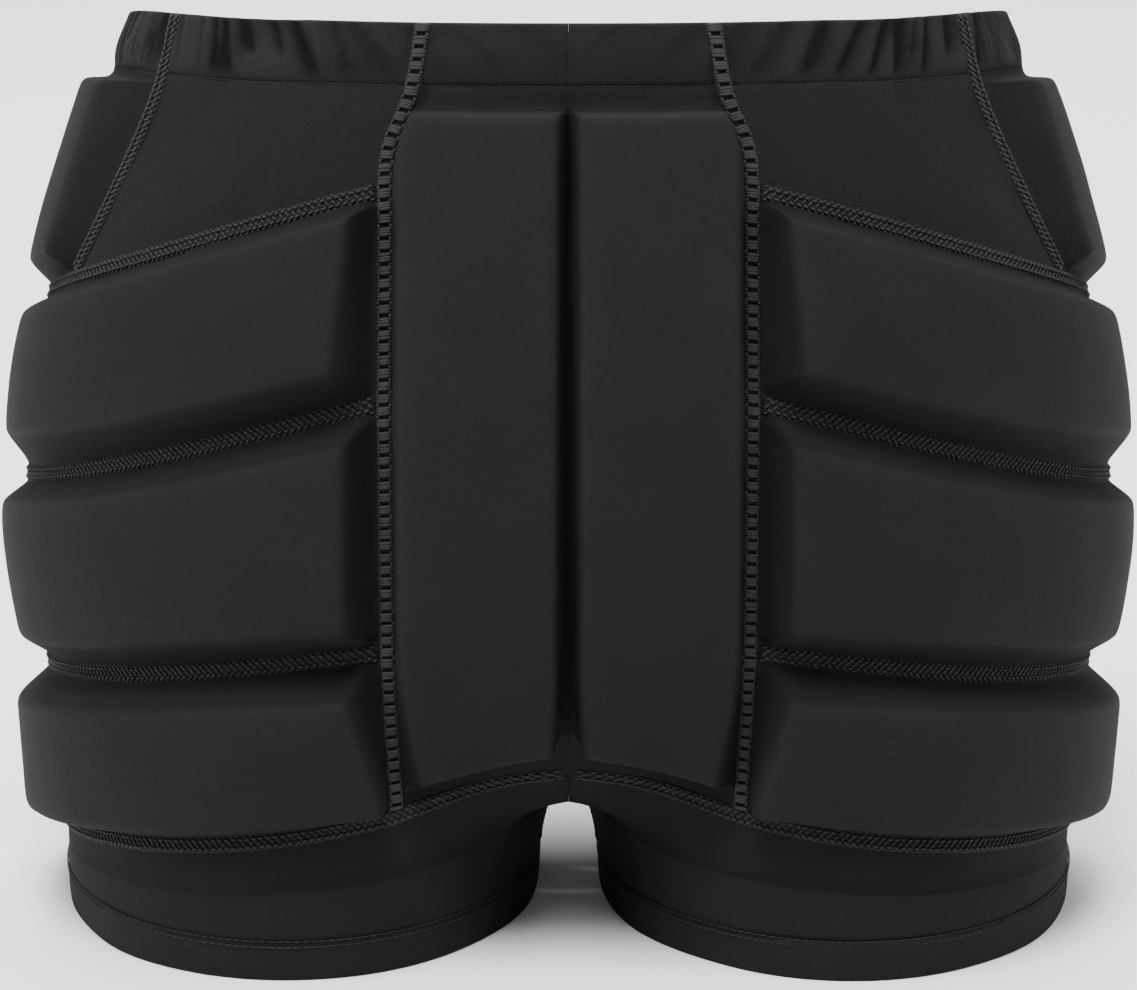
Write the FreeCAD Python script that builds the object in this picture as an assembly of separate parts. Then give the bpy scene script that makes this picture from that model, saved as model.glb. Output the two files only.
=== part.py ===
import FreeCAD, Part
import math
import os

# Padded impact shorts, drawn as worn and standing on their hems. Millimetres.
# +Z is up, the seat faces -Y, the wearer faces +Y and the wearer's right is +X.
# The right half is modelled and mirrored. Its fabric is one surface round the leg axis:
# an angle about that axis (0 is outward, -90 the seat side, 90 the front, 180 the inner
# leg) and a height give a point. Every piece is a patch of that surface, made thick.

# Overall sizes of the fabric under the pads
HEIGHT = 322.0            # hems to the rear rim
HIP_HALF_WIDTH = 193.5
WAIST_HALF_WIDTH = 152.0
SEAT_DEPTH = 124.0        # body centre to the fullest part of the seat
WAIST_BACK_DEPTH = 88.0
FRONT_DEPTH = 112.0
WAIST_FRONT_DEPTH = 94.0
LEG_WIDTH = 170.0
LEG_DEPTH = 220.0
LEG_GAP = 23.5            # between the two inner hems
BLEND_LOW = 17.0          # height where the leg tube starts to spread into the hips
BLEND_HIGH = 140.0
ROUNDNESS = 2.35          # exponent of the hip section, 2 is an ellipse

# Rim and waistband
RIM_SIDE_DROP = 3.5
RIM_FRONT_DROP = 32.0
CASING_HEIGHT = 20.5
ELASTIC_THICKNESS = 1.4
ELASTIC_MARGIN = 1.6

# Fabric, foam and stitching
FABRIC = 0.8
LINING = 0.8
FIT = 0.2                 # clearance between layers and between foam and cover
PANEL_GAP = 0.2           # between panel edges under a seam
SEAM_WIDTH = 5.6
SEAM_THICKNESS = 0.8
BRIM = 3.4                # flat edge of a pad cover, under the seam
FOAM = 18.0               # seat pads, and side pads at the seat end
SIDE_FOAM = (FOAM, 5.5)   # upper and middle pads, thinner towards the front end
LOWER_FOAM = (FOAM, 12.0)
HIP_FOAM = 10.0
SHOULDER = 0.72           # share of the foam's height where its edge turns over

# Seams on the right half
SEAT_SEAM_X = 60.5        # seat seam to the centre plane, over the seat
SEAT_SEAM_RIM_X = 48.0    # the same at the rim
SEAT_SEAM_LOW_X = 59.0
HIP_SEAM_LOW = -25.0      # angles of the hip seam at its lower end and at the rim
HIP_SEAM_HIGH = -45.0
FRONT_SEAM = 35.0         # angle of the seam between side panels and front
YOKE_DEPTH = 54.0         # rim to the upper seam, at the seat seam
LEG_SEAM_HEIGHT = 55.0    # hem to the leg seam, at the seat seam
ROW_SHARES = (0.28, 0.40, 0.32)   # lower, middle and upper pad rows, at the seat seam
UPPER_FALL = 49.0         # how far each seam falls from the seat seam to the side
MIDDLE_FALL = 46.5
LOWER_FALL = 29.0
LEG_FALL = 27.0
LEG_SEAM_RISE = 0.46      # rise of the leg seam towards the crotch, per degree

# Pad edges: width of the sloping edge at the seat end, front end, bottom and top
SEAT_PAD_EDGES = (1.2, 4.0, 5.0, 3.0)
UPPER_PAD_EDGES = ((11.0, 3.0), 6.0, 10.0, 6.0)
MIDDLE_PAD_EDGES = ((6.0, 5.0), 6.0, 9.0, 7.0)
LOWER_PAD_EDGES = ((4.0, 9.0), 6.0, 1.4, 9.0)
HIP_PAD_EDGES = ((8.0, 26.0), 6.0, 6.0, 2.0)
# Seat pad feet: inner side at its bottom and its top, outer side, lower end, upper end
SEAT_PAD_FEET = ((3.6, 1.3), BRIM, (17.0, 9.4), 8.5)

# Hems, inseam and label
HEM_HEIGHT = 14.0
HEM_STITCH_WIDTH = 3.0
WAIST_STITCH_WIDTH = 2.4
LABEL_WIDTH = 24.0
LABEL_HEIGHT = 30.0
LABEL_THICKNESS = 0.4
LABEL_FROM_CENTRE = 8.0
LABEL_BELOW_CASING = 6.0

CENTRE_GAP = 0.3          # from the centre plane to the edges that meet there
CENTRE_FADE = 40.0        # width over which thickness turns parallel to the centre plane
CONTACT = 0.05            # between flat pieces that lie on each other
CROTCH_CLEARANCE = 0.6    # more room where the panels turn the crotch corner
SEAM_CLEARANCE = 0.4      # between the ends of two rows of covering stitches
NEAR = 1e-3

# The surfaces that turn the crotch corner have that corner on one of their rows.
LEG_ROWS = 11
LEG_CORNER_SHARE = 3 / LEG_ROWS
FRONT_ROWS = 24
FRONT_CORNER_SHARE = 3 / FRONT_ROWS

leg_x = (LEG_GAP + LEG_WIDTH) / 2
# The pads make the back stand out, so the body is moved to keep the origin in the middle.
body_y = (SEAT_DEPTH + FOAM + FIT - FRONT_DEPTH - SEAM_THICKNESS) / 2


def smooth_through(value, stations):
    """A smooth curve through a few (value, result) stations, level outside them."""
    if value <= stations[0][0]:
        return stations[0][1]
    if value >= stations[-1][0]:
        return stations[-1][1]

    def slope(index):
        first = stations[max(index - 1, 0)]
        last = stations[min(index + 1, len(stations) - 1)]
        return (last[1] - first[1]) / (last[0] - first[0])

    index = 0
    while value > stations[index + 1][0]:
        index += 1
    (low, start), (high, end) = stations[index], stations[index + 1]
    step = high - low
    t = (value - low) / step
    leaving = (t ** 3 - 2 * t ** 2 + t) * step * slope(index)
    arriving = (t ** 3 - t ** 2) * step * slope(index + 1)
    return start + (end - start) * (3 * t ** 2 - 2 * t ** 3) + leaving + arriving


def ease(t):
    t = min(1.0, max(0.0, t))
    return t * t * (3 - 2 * t)


def spread(pair, share):
    """A value that may differ at the two ends of an edge."""
    if isinstance(pair, tuple):
        return pair[0] + (pair[1] - pair[0]) * share
    return pair


def hip_radius(angle, height):
    """Leg axis to the hip section, a superellipse about the body's centre."""
    share = height / HEIGHT
    half = smooth_through(share, [
        (0.0, HIP_HALF_WIDTH - 7), (0.28, HIP_HALF_WIDTH - 2), (0.47, HIP_HALF_WIDTH),
        (0.67, HIP_HALF_WIDTH - 9), (0.91, WAIST_HALF_WIDTH + 9), (1.0, WAIST_HALF_WIDTH)])
    back = smooth_through(share, [
        (0.0, SEAT_DEPTH - 12), (0.19, SEAT_DEPTH - 8), (0.34, SEAT_DEPTH - 2), (0.5, SEAT_DEPTH),
        (0.64, SEAT_DEPTH - 3), (0.78, SEAT_DEPTH - 14), (1.0, WAIST_BACK_DEPTH)])
    front = smooth_through(share, [
        (0.0, FRONT_DEPTH - 8), (0.31, FRONT_DEPTH - 2), (0.5, FRONT_DEPTH),
        (0.65, FRONT_DEPTH - 2), (0.81, FRONT_DEPTH - 10), (1.0, WAIST_FRONT_DEPTH)])
    across = math.cos(angle)
    along = math.sin(angle)
    near, far = 0.0, 4 * HIP_HALF_WIDTH
    for _ in range(36):
        radius = (near + far) / 2
        x = leg_x + radius * across
        y = radius * along - body_y
        depth = back if y < 0 else front
        if (abs(x) / half) ** ROUNDNESS + (abs(y) / depth) ** ROUNDNESS > 1:
            far = radius
        else:
            near = radius
    return (near + far) / 2


def leg_radius(angle):
    return 1 / math.hypot(math.cos(angle) / (LEG_WIDTH / 2), math.sin(angle) / (LEG_DEPTH / 2))


known_points = {}


def skin(angle, height):
    """The fabric's inner face at an angle in degrees and a height."""
    key = (round(angle, 6), round(height, 6))
    if key not in known_points:
        turn = math.radians(angle)
        share = ease((height - BLEND_LOW) / (BLEND_HIGH - BLEND_LOW))
        radius = leg_radius(turn)
        if share > 0:
            radius = (1 - share) * radius + share * hip_radius(turn, height)
        known_points[key] = FreeCAD.Vector(
            leg_x + radius * math.cos(turn), radius * math.sin(turn), height)
    return known_points[key]


def slopes(angle, height):
    """How the fabric runs per degree and per millimetre of height."""
    round_way = (skin(angle + 0.5, height) - skin(angle - 0.5, height))
    up_way = (skin(angle, height + 0.5) - skin(angle, height - 0.5))
    return round_way, up_way


def outward(angle, height):
    """Unit direction of thickness. It turns parallel to the centre plane beside it."""
    round_way, up_way = slopes(angle, height)
    direction = round_way.cross(up_way)
    direction.x *= ease(skin(angle, height).x / CENTRE_FADE)
    return direction.normalize()


def raised(angle, height, offset):
    return skin(angle, height) + outward(angle, height) * offset


def solve(function, low, high):
    """Where a function that rises from low to high crosses zero."""
    for _ in range(40):
        middle = (low + high) / 2
        if function(middle) < 0:
            low = middle
        else:
            high = middle
    return (low + high) / 2


# Lines on the fabric. Each takes a share from 0 to 1 and gives (angle, height).

def back_angle(x, height):
    """Angle where the seat side of the fabric is that far from the centre plane."""
    return solve(lambda angle: skin(angle, height).x - x, -180.0, -30.0)


def front_angle(x, height):
    return -solve(lambda angle: skin(-angle, height).x - x, -180.0, -30.0)


def seat_seam_angle(height):
    x = smooth_through(height / HEIGHT, [
        (0.17, SEAT_SEAM_LOW_X), (0.34, SEAT_SEAM_X), (0.8, SEAT_SEAM_X),
        (0.87, SEAT_SEAM_X - 1), (0.93, SEAT_SEAM_RIM_X + 4), (1.0, SEAT_SEAM_RIM_X)])
    return back_angle(x, height)


def hip_seam_angle(height):
    return smooth_through(height / HEIGHT, [
        (0.72, HIP_SEAM_LOW), (0.8, HIP_SEAM_LOW - 9), (0.92, HIP_SEAM_HIGH + 0.5),
        (1.0, HIP_SEAM_HIGH)])


def cross_seam(height_at_seat, fall, bow):
    """Height of a seam that falls from the seat seam round to the side and the front."""
    seat_angle = seat_seam_angle(height_at_seat)

    def height(angle):
        share = (angle - seat_angle) / -seat_angle
        return height_at_seat - fall * (share + bow * share * (1 - share))
    return height


row_start = LEG_SEAM_HEIGHT
row_end = HEIGHT - YOKE_DEPTH
lower_at_seat = row_start + ROW_SHARES[0] * (row_end - row_start)
middle_at_seat = lower_at_seat + ROW_SHARES[1] * (row_end - row_start)
upper_seam = cross_seam(row_end, UPPER_FALL, 0.05)
middle_seam = cross_seam(middle_at_seat, MIDDLE_FALL, 0.32)
lower_seam = cross_seam(lower_at_seat, LOWER_FALL, 0.2)
outer_leg_seam = cross_seam(LEG_SEAM_HEIGHT, LEG_FALL, 0.12)
leg_seam_corner = seat_seam_angle(LEG_SEAM_HEIGHT)


def leg_seam(angle):
    if angle < leg_seam_corner:
        return LEG_SEAM_HEIGHT + LEG_SEAM_RISE * (leg_seam_corner - angle)
    return outer_leg_seam(angle)


def rim_height(angle):
    return HEIGHT - smooth_through(angle, [
        (-100.0, 0.0), (0.0, RIM_SIDE_DROP), (130.0, RIM_FRONT_DROP)])


def casing_line(angle):
    return rim_height(angle) - CASING_HEIGHT


def hem_line(angle):
    return HEM_HEIGHT + PANEL_GAP


crotch_height = solve(lambda height: CENTRE_GAP - skin(180.0, height).x, 0.0, BLEND_HIGH)


def meet(angle_at, height_at, guess):
    """Height where an upright line crosses a cross seam."""
    height = guess
    for _ in range(12):
        height = height_at(angle_at(height))
    return height


def upright(angle_at, low_seam, high_seam):
    """A line that climbs from one cross seam to another."""
    low = meet(angle_at, low_seam, HEIGHT / 2)
    high = meet(angle_at, high_seam, HEIGHT / 2)

    def line(share):
        height = low + (high - low) * share
        return angle_at(height), height
    return line


def level(height_at, start, end):
    """A line that follows a cross seam between the ends of two upright lines."""
    def line(share):
        angle = start[0] + (end[0] - start[0]) * share
        return angle, height_at(angle)
    return line


def inseam_line(turn):
    def line(share):
        return turn, HEM_HEIGHT + PANEL_GAP + share * (crotch_height - HEM_HEIGHT - PANEL_GAP)
    return line


def from_crotch(angle_at, top):
    """The centre line from the crotch up to a height, with even steps along the cloth."""
    count = 160
    heights = [crotch_height + (top - crotch_height) * (i / count) ** 2 for i in range(count + 1)]
    angles = [angle_at(CENTRE_GAP, height) for height in heights]
    lengths = [0.0]
    for i in range(count):
        step = skin(angles[i + 1], heights[i + 1]) - skin(angles[i], heights[i])
        lengths.append(lengths[-1] + step.Length)

    def line(share):
        target = share * lengths[-1]
        i = 0
        while i < count - 1 and lengths[i + 1] < target:
            i += 1
        t = (target - lengths[i]) / (lengths[i + 1] - lengths[i])
        height = heights[i] + t * (heights[i + 1] - heights[i])
        return angle_at(CENTRE_GAP, max(height, crotch_height + NEAR)), height
    return line


def joined(first, second, share_of_first):
    def line(share):
        if share <= share_of_first:
            return first(share / share_of_first)
        return second((share - share_of_first) / (1 - share_of_first))
    return line


def centre_back_angle(height):
    return back_angle(CENTRE_GAP, height)


def centre_front_angle(height):
    return front_angle(CENTRE_GAP, height)


def front_seam_angle(height):
    return FRONT_SEAM


# Patches. Each takes (u, v), round the body and upwards, and gives (angle, height).

def patch(start, end, low, high):
    """The patch between four lines, filled evenly."""
    def place(u, v):
        result = []
        for k in (0, 1):
            across = (1 - u) * start(v)[k] + u * end(v)[k]
            upwards = (1 - v) * low(u)[k] + v * high(u)[k]
            corners = ((1 - u) * ((1 - v) * start(0)[k] + v * start(1)[k])
                       + u * ((1 - v) * end(0)[k] + v * end(1)[k]))
            result.append(across + upwards - corners)
        return tuple(result)
    return place


def four_sided(angle_start, angle_end, low_seam, high_seam):
    """The patch between two upright lines and two cross seams."""
    start = upright(angle_start, low_seam, high_seam)
    end = upright(angle_end, low_seam, high_seam)
    low = level(low_seam, start(0), end(0))
    high = level(high_seam, start(1), end(1))
    return patch(start, end, low, high)


def run(place, fixed, along_u):
    """Length of a patch's edge on the fabric."""
    count = 12
    points = []
    for i in range(count + 1):
        u, v = (i / count, fixed) if along_u else (fixed, i / count)
        points.append(skin(*place(u, v)))
    return sum((b - a).Length for a, b in zip(points, points[1:]))


def inset(place, start=0.0, end=0.0, low=0.0, high=0.0):
    """The same patch drawn in from its four edges, in millimetres."""
    widths = (run(place, 0.0, True), run(place, 1.0, True))
    heights = (run(place, 0.0, False), run(place, 1.0, False))

    def inner(u, v):
        width = spread(widths, v)
        height = spread(heights, u)
        first = spread(start, v) / width
        last = spread(end, v) / width
        bottom = spread(low, u) / height
        top = spread(high, u) / height
        return place(first + u * (1 - first - last), bottom + v * (1 - bottom - top))
    return inner


def ribbon(line, width, trim_start=0.0, trim_end=0.0):
    """A strip of even width along a line."""
    count = 40
    points = [skin(*line(i / count)) for i in range(count + 1)]
    length = sum((b - a).Length for a, b in zip(points, points[1:]))

    def place(u, v):
        share = (trim_start + u * (length - trim_start - trim_end)) / length
        angle, height = line(share)
        before = skin(*line(share - NEAR))
        after = skin(*line(share + NEAR))
        round_way, up_way = slopes(angle, height)
        sideways = round_way.cross(up_way).cross(after - before).normalize() * ((v - 0.5) * width)
        a, b, c = round_way.dot(round_way), round_way.dot(up_way), up_way.dot(up_way)
        p, q = sideways.dot(round_way), sideways.dot(up_way)
        scale = a * c - b * b
        return angle + (c * p - b * q) / scale, height + (a * q - b * p) / scale
    return place


# Solids

def layer(place, offset, columns=14, rows=8):
    """A smooth surface over a patch. Its distance from the fabric may change round the body."""
    grid = []
    for i in range(columns + 1):
        u = i / columns
        grid.append([raised(*place(u, j / rows), spread(offset, u)) for j in range(rows + 1)])
    surface = Part.BSplineSurface()
    surface.interpolate(grid)
    return surface


def border(surface):
    first_u, last_u, first_v, last_v = surface.bounds()
    sides = (surface.vIso(first_v), surface.uIso(last_u), surface.vIso(last_v), surface.uIso(first_u))
    return [side.toShape() for side in sides]


def solid_of(faces):
    shell = Part.makeCompound(faces)
    shell.sewShape(1e-4)
    solid = Part.makeSolid(shell.Shells[0])
    if solid.Volume < 0:
        solid.reverse()
    if len(shell.Shells) != 1 or not solid.isValid():
        raise ValueError("a piece did not close")
    return solid


def stack(layers, **steps):
    """A closed solid: the first and last layers are faces, the others are rings between."""
    surfaces = [layer(place, offset, **steps) for place, offset in layers]
    borders = [border(surface) for surface in surfaces]
    faces = [surfaces[0].toShape(), surfaces[-1].toShape()]
    for lower, upper in zip(borders, borders[1:]):
        for one, other in zip(lower, upper):
            faces.append(Part.makeRuledSurface(one, other))
    return solid_of(faces)


def slab(place, inner, outer, **steps):
    return stack([(place, inner), (place, outer)], **steps)


def panel(place, **steps):
    """One layer of fabric, with half the gap under a seam at each edge."""
    edge = PANEL_GAP / 2
    return slab(inset(place, edge, edge, edge, edge), 0.0, FABRIC, **steps)


def drawn_in(amount, edges, share):
    """Inset of the four sides at a share of the sloping edge."""
    result = []
    for base, slope in zip(amount, edges):
        low = spread(base, 0.0) + spread(slope, 0.0) * share
        high = spread(base, 1.0) + spread(slope, 1.0) * share
        result.append((low, high))
    return result


def risen(foam, share, more):
    """A share of the foam's height at both ends of a pad, and a little more."""
    return spread(foam, 0.0) * share + more, spread(foam, 1.0) * share + more


def foam_pad(place, feet, edges, foam):
    """A foam block whose edges slope and then turn over to the flat top."""
    levels = ((0.0, FIT), (0.5, risen(foam, SHOULDER, 0.0)), (1.0, foam))
    return stack([(inset(place, *drawn_in(feet, edges, share)), offset) for share, offset in levels])


def pad_cover(place, feet, edges, foam):
    """One fabric moulded over the foam, with a flat brim round it for the seams."""
    clear = [(spread(foot, 0.0) - FIT, spread(foot, 1.0) - FIT) for foot in feet]
    outside = [(spread(foot, 0.0) - FIT - FABRIC, spread(foot, 1.0) - FIT - FABRIC) for foot in feet]
    edge = PANEL_GAP / 2
    brim = inset(place, edge, edge, edge, edge)
    inner_shoulder = inset(place, *drawn_in(clear, edges, 0.5))
    outer_shoulder = inset(place, *drawn_in(outside, edges, 0.5))
    return stack([
        (inset(place, *drawn_in(clear, edges, 1.0)), risen(foam, 1.0, FIT)),
        (inner_shoulder, risen(foam, SHOULDER, FIT)),
        (inset(place, *clear), 0.0),
        (brim, 0.0),
        (brim, FABRIC),
        (inset(place, *outside), FABRIC),
        (outer_shoulder, risen(foam, SHOULDER, FIT + FABRIC)),
        (inset(place, *drawn_in(outside, edges, 1.0)), risen(foam, 1.0, FIT + FABRIC))])


def folded_casing(place):
    """Fabric folded over the waist elastic: an outer wall, the rim and an inner wall."""
    edge = PANEL_GAP / 2
    depth = ELASTIC_THICKNESS + 2 * FIT + FABRIC
    past = -3 * FABRIC
    whole = slab(inset(place, edge, edge), -depth, FABRIC)
    pocket = slab(inset(place, past, past, past, FABRIC), FABRIC - depth, 0.0)
    return whole.cut(pocket).Solids[0]


def seam_tape(line, trim_start=0.0, trim_end=0.0, columns=24):
    """The covering stitches that lie over the joint of two panels."""
    strip = ribbon(line, SEAM_WIDTH, trim_start, trim_end)
    return slab(strip, FABRIC, FABRIC + SEAM_THICKNESS, columns=columns, rows=2)


def leg_ring(inner, outer, low, high):
    """An upright band round the leg, where the leg is a plain elliptical tube."""
    centre = FreeCAD.Vector(leg_x, 0, low)
    up = FreeCAD.Vector(0, 0, high - low)
    solids = []
    for offset in (outer, inner):
        front = FreeCAD.Vector(leg_x, LEG_DEPTH / 2 + offset, low)
        side = FreeCAD.Vector(leg_x + LEG_WIDTH / 2 + offset, 0, low)
        edge = Part.Ellipse(front, side, centre).toShape()
        solids.append(Part.Face(Part.Wire(edge)).extrude(up))
    return solids[0].cut(solids[1]).Solids[0]


def mirrored(shape):
    return shape.mirror(FreeCAD.Vector(0, 0, 0), FreeCAD.Vector(1, 0, 0))


def write(name, shape):
    shape.exportStep("parts/" + name + ".step")


def write_pair(name, shape):
    write(name + "_right", shape)
    write(name + "_left", mirrored(shape))


# Areas of the right half

upper_row = four_sided(seat_seam_angle, front_seam_angle, middle_seam, upper_seam)
middle_row = four_sided(seat_seam_angle, front_seam_angle, lower_seam, middle_seam)
lower_row = four_sided(seat_seam_angle, front_seam_angle, leg_seam, lower_seam)
seat_area = four_sided(centre_back_angle, seat_seam_angle, leg_seam, casing_line)
hip_area = four_sided(hip_seam_angle, front_seam_angle, upper_seam, casing_line)
yoke_area = four_sided(seat_seam_angle, hip_seam_angle, upper_seam, casing_line)
lining_area = four_sided(centre_back_angle, front_seam_angle, leg_seam, casing_line)
casing_areas = {
    "seat": four_sided(centre_back_angle, seat_seam_angle, casing_line, rim_height),
    "yoke": four_sided(seat_seam_angle, hip_seam_angle, casing_line, rim_height),
    "side": four_sided(hip_seam_angle, front_seam_angle, casing_line, rim_height),
    "front": four_sided(front_seam_angle, centre_front_angle, casing_line, rim_height)}


def leg_area():
    """The back of the leg, from the hem up to the leg seam and in to the crotch."""
    corner = meet(centre_back_angle, leg_seam, HEIGHT / 4)
    start = joined(inseam_line(-180.0), from_crotch(back_angle, corner), LEG_CORNER_SHARE)
    end = upright(front_seam_angle, hem_line, leg_seam)
    return patch(start, end, level(hem_line, start(0), end(0)), level(leg_seam, start(1), end(1)))


def front_area():
    """The plain front, from the hem to the waistband."""
    top = meet(centre_front_angle, casing_line, HEIGHT)
    start = upright(front_seam_angle, hem_line, casing_line)
    end = joined(inseam_line(180.0), from_crotch(front_angle, top), FRONT_CORNER_SHARE)
    return patch(start, end, level(hem_line, start(0), end(0)),
                 level(casing_line, start(1), end(1)))


# Pieces

def make_pads():
    feet = (BRIM, BRIM, BRIM, BRIM)
    padded = [
        ("seat", seat_area, SEAT_PAD_FEET, SEAT_PAD_EDGES, FOAM),
        ("side_upper", upper_row, feet, UPPER_PAD_EDGES, SIDE_FOAM),
        ("side_middle", middle_row, feet, MIDDLE_PAD_EDGES, SIDE_FOAM),
        ("side_lower", lower_row, feet, LOWER_PAD_EDGES, LOWER_FOAM),
        ("hip", hip_area, feet, HIP_PAD_EDGES, HIP_FOAM)]
    for name, area, foot, edges, foam in padded:
        write_pair(name + "_pad", foam_pad(area, foot, edges, foam))
        write_pair(name + "_cover", pad_cover(area, foot, edges, foam))


def make_panels():
    write_pair("yoke_panel", panel(yoke_area))
    leg = inset(leg_area(), start=CROTCH_CLEARANCE)
    write_pair("leg_panel", panel(leg, columns=28, rows=LEG_ROWS))
    front = inset(front_area(), end=CROTCH_CLEARANCE)
    write_pair("front_panel", panel(front, columns=16, rows=FRONT_ROWS))
    edge = PANEL_GAP / 2
    backing = inset(lining_area, edge, edge, edge, edge)
    write_pair("pad_lining", slab(backing, -FIT - LINING, -FIT, columns=24, rows=12))


def make_waistband():
    for name, area in casing_areas.items():
        write_pair("waistband_" + name, folded_casing(area))

    def band_low(angle):
        return casing_line(angle) + ELASTIC_MARGIN

    def band_high(angle):
        return rim_height(angle) - FABRIC - ELASTIC_MARGIN

    def middle_back(height):
        return back_angle(0.0, height)

    def middle_front(height):
        return front_angle(0.0, height)

    area = four_sided(middle_back, middle_front, band_low, band_high)
    half = slab(area, -FIT - ELASTIC_THICKNESS, -FIT, columns=32, rows=3)
    write("waist_elastic", Part.makeCompound([half, mirrored(half)]))


def make_upright_seams():
    joint = SEAM_WIDTH / 2 + SEAM_CLEARANCE
    seat = upright(seat_seam_angle, leg_seam, rim_height)
    write_pair("seat_seam", seam_tape(seat, joint, FABRIC))
    hip = upright(hip_seam_angle, upper_seam, rim_height)
    write_pair("hip_seam", seam_tape(hip, joint, FABRIC))
    front = upright(front_seam_angle, hem_line, rim_height)
    write_pair("front_seam", seam_tape(front, HEM_STITCH_WIDTH, FABRIC))
    inseam = inseam_line(180.0)
    write_pair("inseam", seam_tape(inseam, HEM_STITCH_WIDTH, SEAM_WIDTH, columns=6))
    top = meet(centre_front_angle, rim_height, HEIGHT)
    strip = ribbon(from_crotch(front_angle, top), SEAM_WIDTH, CENTRE_GAP, FABRIC)

    def outer_half(u, v):
        return strip(u, 0.5 + v / 2)

    half = slab(outer_half, FABRIC, FABRIC + SEAM_THICKNESS, columns=24, rows=2)
    write("centre_front_seam", Part.makeCompound([half, mirrored(half)]))


def make_cross_seams():
    joint = SEAM_WIDTH / 2 + SEAM_CLEARANCE
    for name, height_at in (("upper", upper_seam), ("middle", middle_seam), ("lower", lower_seam)):
        start = upright(seat_seam_angle, height_at, height_at)(0)
        line = level(height_at, start, (FRONT_SEAM, height_at(FRONT_SEAM)))
        write_pair(name + "_seam", seam_tape(line, joint, joint))
    corner = upright(centre_back_angle, leg_seam, leg_seam)(0)
    line = level(leg_seam, corner, (FRONT_SEAM, leg_seam(FRONT_SEAM)))
    write_pair("leg_seam", seam_tape(line, SEAM_CLEARANCE, joint, columns=40))


def make_waist_stitching():
    """Runs of covering stitches below the casing, between the upright seams."""
    joint = SEAM_WIDTH / 2 + SEAM_CLEARANCE
    runs = []
    for name, area in casing_areas.items():
        start, end = area(0.0, 0.0), area(1.0, 0.0)
        line = level(casing_line, start, end)
        first = CENTRE_GAP if name == "seat" else joint
        strip = ribbon(line, WAIST_STITCH_WIDTH, first, joint)
        run_right = slab(strip, FABRIC, FABRIC + SEAM_THICKNESS / 2, columns=14, rows=2)
        runs += [run_right, mirrored(run_right)]
    write("waist_stitching", Part.makeCompound(runs))


def make_hems():
    write_pair("hem_band", leg_ring(-FABRIC, FABRIC, 0.0, HEM_HEIGHT))
    low = HEM_HEIGHT - HEM_STITCH_WIDTH / 2
    outer = FABRIC + SEAM_THICKNESS / 2
    write_pair("hem_stitching", leg_ring(FABRIC + CONTACT, outer, low, low + HEM_STITCH_WIDTH))


def make_label():
    """A blank woven label on the lining, inside the back of the waist."""
    top = casing_line(centre_back_angle(HEIGHT)) - LABEL_BELOW_CASING

    def near_side(height):
        return back_angle(LABEL_FROM_CENTRE, height)

    def far_side(height):
        return back_angle(LABEL_FROM_CENTRE + LABEL_WIDTH, height)

    def label_low(angle):
        return top - LABEL_HEIGHT

    def label_high(angle):
        return top

    area = four_sided(near_side, far_side, label_low, label_high)
    face = -FIT - LINING - CONTACT
    write("size_label", slab(area, face - LABEL_THICKNESS, face))


os.makedirs("parts", exist_ok=True)
make_pads()
make_panels()
make_waistband()
make_upright_seams()
make_cross_seams()
make_waist_stitching()
make_hems()
make_label()
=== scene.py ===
import math

import bpy
import numpy as np
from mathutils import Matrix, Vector


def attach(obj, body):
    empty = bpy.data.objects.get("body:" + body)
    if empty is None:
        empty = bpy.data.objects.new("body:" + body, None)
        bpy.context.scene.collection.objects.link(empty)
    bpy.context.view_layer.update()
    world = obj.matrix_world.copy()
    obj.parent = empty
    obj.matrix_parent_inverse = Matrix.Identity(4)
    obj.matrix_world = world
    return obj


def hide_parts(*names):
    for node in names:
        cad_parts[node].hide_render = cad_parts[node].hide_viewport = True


# Padded impact shorts, as worn, standing on their hems. Metres, in the frame of the CAD:
# +Z up, the seat faces -Y and the wearer's right is +X. The right half is worked out and
# the left is its mirror image, with ripples and gathers of its own.

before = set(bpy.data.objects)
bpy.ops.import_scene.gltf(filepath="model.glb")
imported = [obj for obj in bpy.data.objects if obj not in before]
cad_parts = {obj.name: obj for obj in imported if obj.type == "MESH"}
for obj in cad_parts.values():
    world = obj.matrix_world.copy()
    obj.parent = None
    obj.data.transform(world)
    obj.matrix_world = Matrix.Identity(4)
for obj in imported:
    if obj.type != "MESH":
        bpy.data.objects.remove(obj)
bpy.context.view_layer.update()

# ---------------------------------------------------------------- camera

AIM_HEIGHT = 0.1445
CAMERA_DISTANCE = 1.40
CAMERA_ELEVATION = math.radians(13.0)
LENS_MM = 123.1


def make_camera():
    camera = bpy.data.objects.new("camera", bpy.data.cameras.new("camera"))
    bpy.context.scene.collection.objects.link(camera)
    camera.data.sensor_width = 36.0
    camera.data.lens = LENS_MM
    back = Vector((0.0, -math.cos(CAMERA_ELEVATION), math.sin(CAMERA_ELEVATION)))
    camera.location = Vector((0.0, 0.0, AIM_HEIGHT)) + back * CAMERA_DISTANCE
    camera.rotation_euler = (-back).to_track_quat("-Z", "Y").to_euler()
    bpy.context.scene.camera = camera


make_camera()

# ---------------------------------------------------------------- sizes

HEIGHT = 0.322
HIP_HALF_WIDTH = 0.1935
WAIST_HALF_WIDTH = 0.1520
SEAT_DEPTH = 0.124
WAIST_BACK_DEPTH = 0.088
FRONT_DEPTH = 0.112
WAIST_FRONT_DEPTH = 0.094
LEG_WIDTH = 0.170
LEG_DEPTH = 0.220
LEG_GAP = 0.0235
BLEND_LOW = 0.017
BLEND_HIGH = 0.140
INNER_BLEND_LOW = 0.0405
INNER_BLEND_HIGH = 0.0665
INNER_LEAN = 0.0045
INNER_LEG = (112.0, 156.0)
ROUNDNESS = 2.35

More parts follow.
